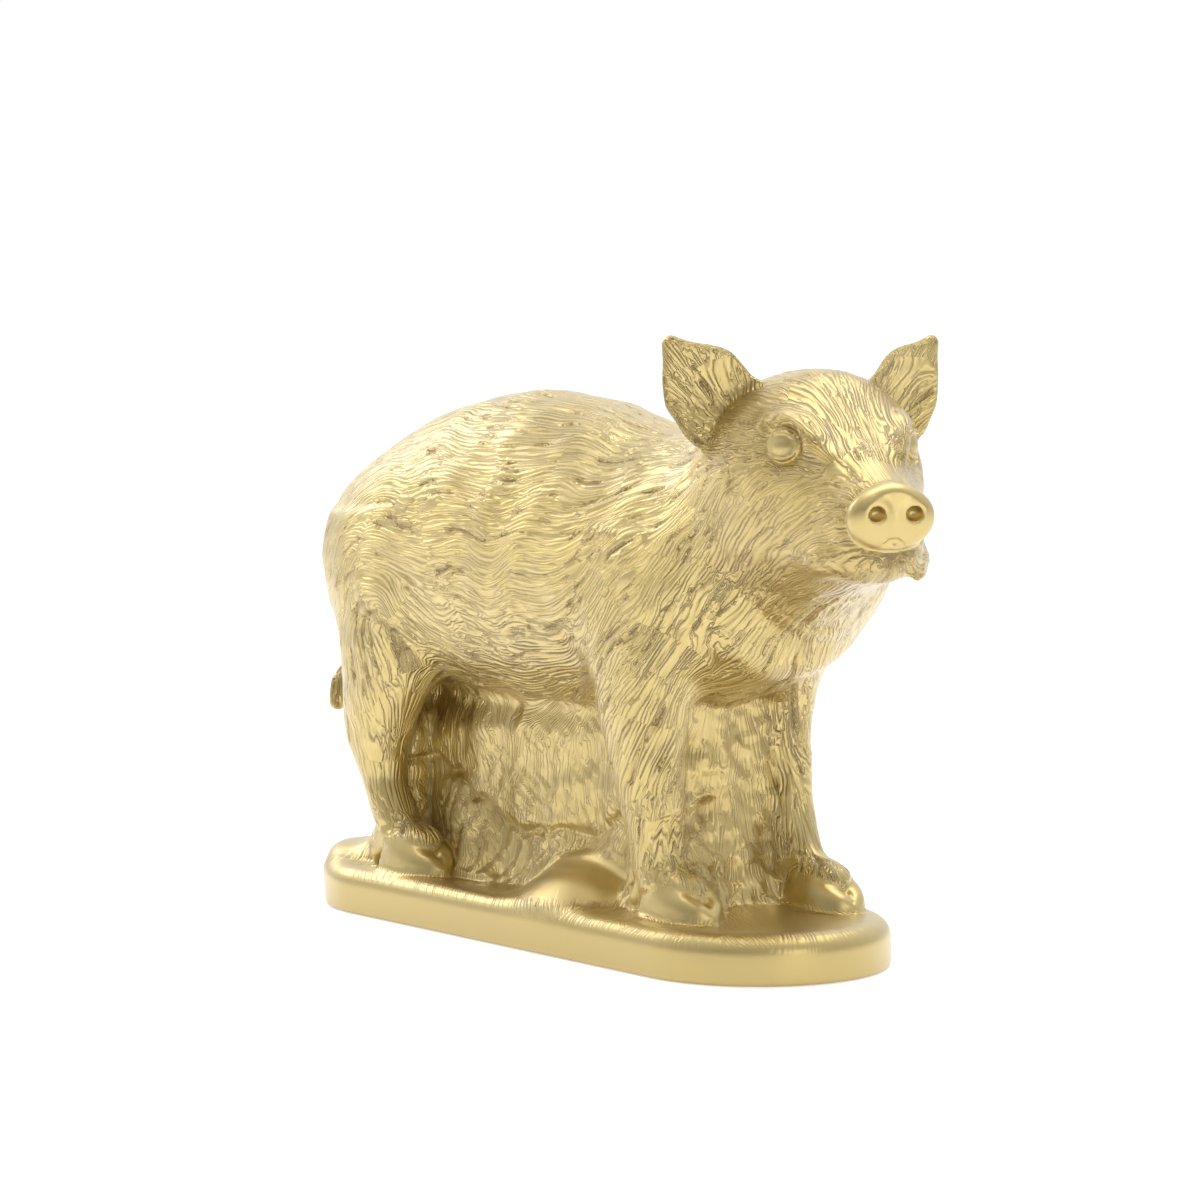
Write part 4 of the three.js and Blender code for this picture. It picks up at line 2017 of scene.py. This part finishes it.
@dataclass(frozen=True)
class Studio:
    """White paper, soft lamps and the camera of the photo.

    Attributes:
        station: The camera's place.
        azimuth: The way to the camera round the upright, from -Y towards +X, in degrees.
        elevation: The way to the camera over the horizon, in degrees.
        focal: Focal length in pixels of the photo.
        photo: The photo's width in pixels.
        floor: Width of the paper, so wide that its end is not seen.
        bright_way: The way to the brightest part of the room.
        bright_span: Nearness to that way where the room is dimmest and where it is brightest.
        dimmest: The least light of the room.
        lamps: The soft boxes.
        paper: The floor's paper.
    """

    station: Triple = (1542.84, -1241.83, 330.24)
    azimuth: float = 51.077
    elevation: float = 4.392
    focal: float = 3719.7
    photo: float = 1200.0
    floor: float = 120000.0
    bright_way: Triple = (-0.466, 0.377, 0.8)
    bright_span: tuple[float, float] = (-0.6, 0.75)
    dimmest: float = 0.2
    lamps: tuple[SoftBox, ...] = (
        SoftBox("top", (150, 250, 1700), 1500, 13),
        SoftBox("rear_left", (-1500, -300, 1100), 900, 7),
        SoftBox("right", (1500, -150, 350), 500, 1.6),
    )
    paper: StudioPaper = StudioPaper()

    def camera(self) -> None:
        """Sets the camera where the photo was taken from."""
        data = bpy.data.cameras.new("camera")
        data.lens = data.sensor_width * self.focal / self.photo
        made = bpy.data.objects.new("camera", data)
        bpy.context.scene.collection.objects.link(made)
        a, e = math.radians(self.azimuth), math.radians(self.elevation)
        back = Vector((math.sin(a) * math.cos(e), -math.cos(a) * math.cos(e), math.sin(e)))
        made.rotation_mode = "QUATERNION"
        made.rotation_quaternion = (-back).to_track_quat("-Z", "Y")
        made.location = Vector(self.station) * MM
        bpy.context.scene.camera = made

    def room(self) -> None:
        """A white room: bright above and behind the piglet, dim at the camera, which sees it plain white."""
        world = bpy.data.worlds.new("white_room")
        bpy.context.scene.world = world
        world.use_nodes = True
        tree = world.node_tree
        tree.nodes.clear()
        way = add_node(tree, "ShaderNodeTexCoord").outputs["Generated"]
        near = add_node(tree, "ShaderNodeVectorMath", {0: way, 1: self.bright_way}, operation="DOT_PRODUCT")
        first, last = self.bright_span
        span = {"From Min": first, "From Max": last, "To Min": self.dimmest, "To Max": 1.0}
        light = add_node(tree, "ShaderNodeMapRange", {"Value": near.outputs["Value"], **span})
        path = add_node(tree, "ShaderNodeLightPath").outputs["Is Camera Ray"]
        seen = {"Factor": path, "A": light.outputs["Result"], "B": 1.0}
        strength = add_node(tree, "ShaderNodeMix", seen, data_type="FLOAT").outputs["Result"]
        sky = add_node(tree, "ShaderNodeBackground", {"Color": (1, 1, 1, 1), "Strength": strength})
        add_node(tree, "ShaderNodeOutputWorld", {"Surface": sky.outputs[0]})

    def build(self) -> None:
        """Lays the paper, hangs the lamps and sets the camera."""
        half = self.floor / 2
        corners = np.array([[-half, -half, 0], [half, -half, 0], [half, half, 0], [-half, half, 0]])
        paper = new_object("paper", corners, np.array([[0, 1, 2, 3]]))
        paper.data.materials.append(self.paper.build())
        self.room()
        for lamp in self.lamps:
            lamp.build()
        self.camera()
        bpy.context.scene.view_settings.view_transform = "Standard"


def main() -> None:
    """Builds the casting and its studio."""
    logging.basicConfig(level=logging.INFO, format="%(name)s: %(message)s")
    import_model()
    Piglet().build()
    Studio().build()


if __name__ == "__main__":
    main()
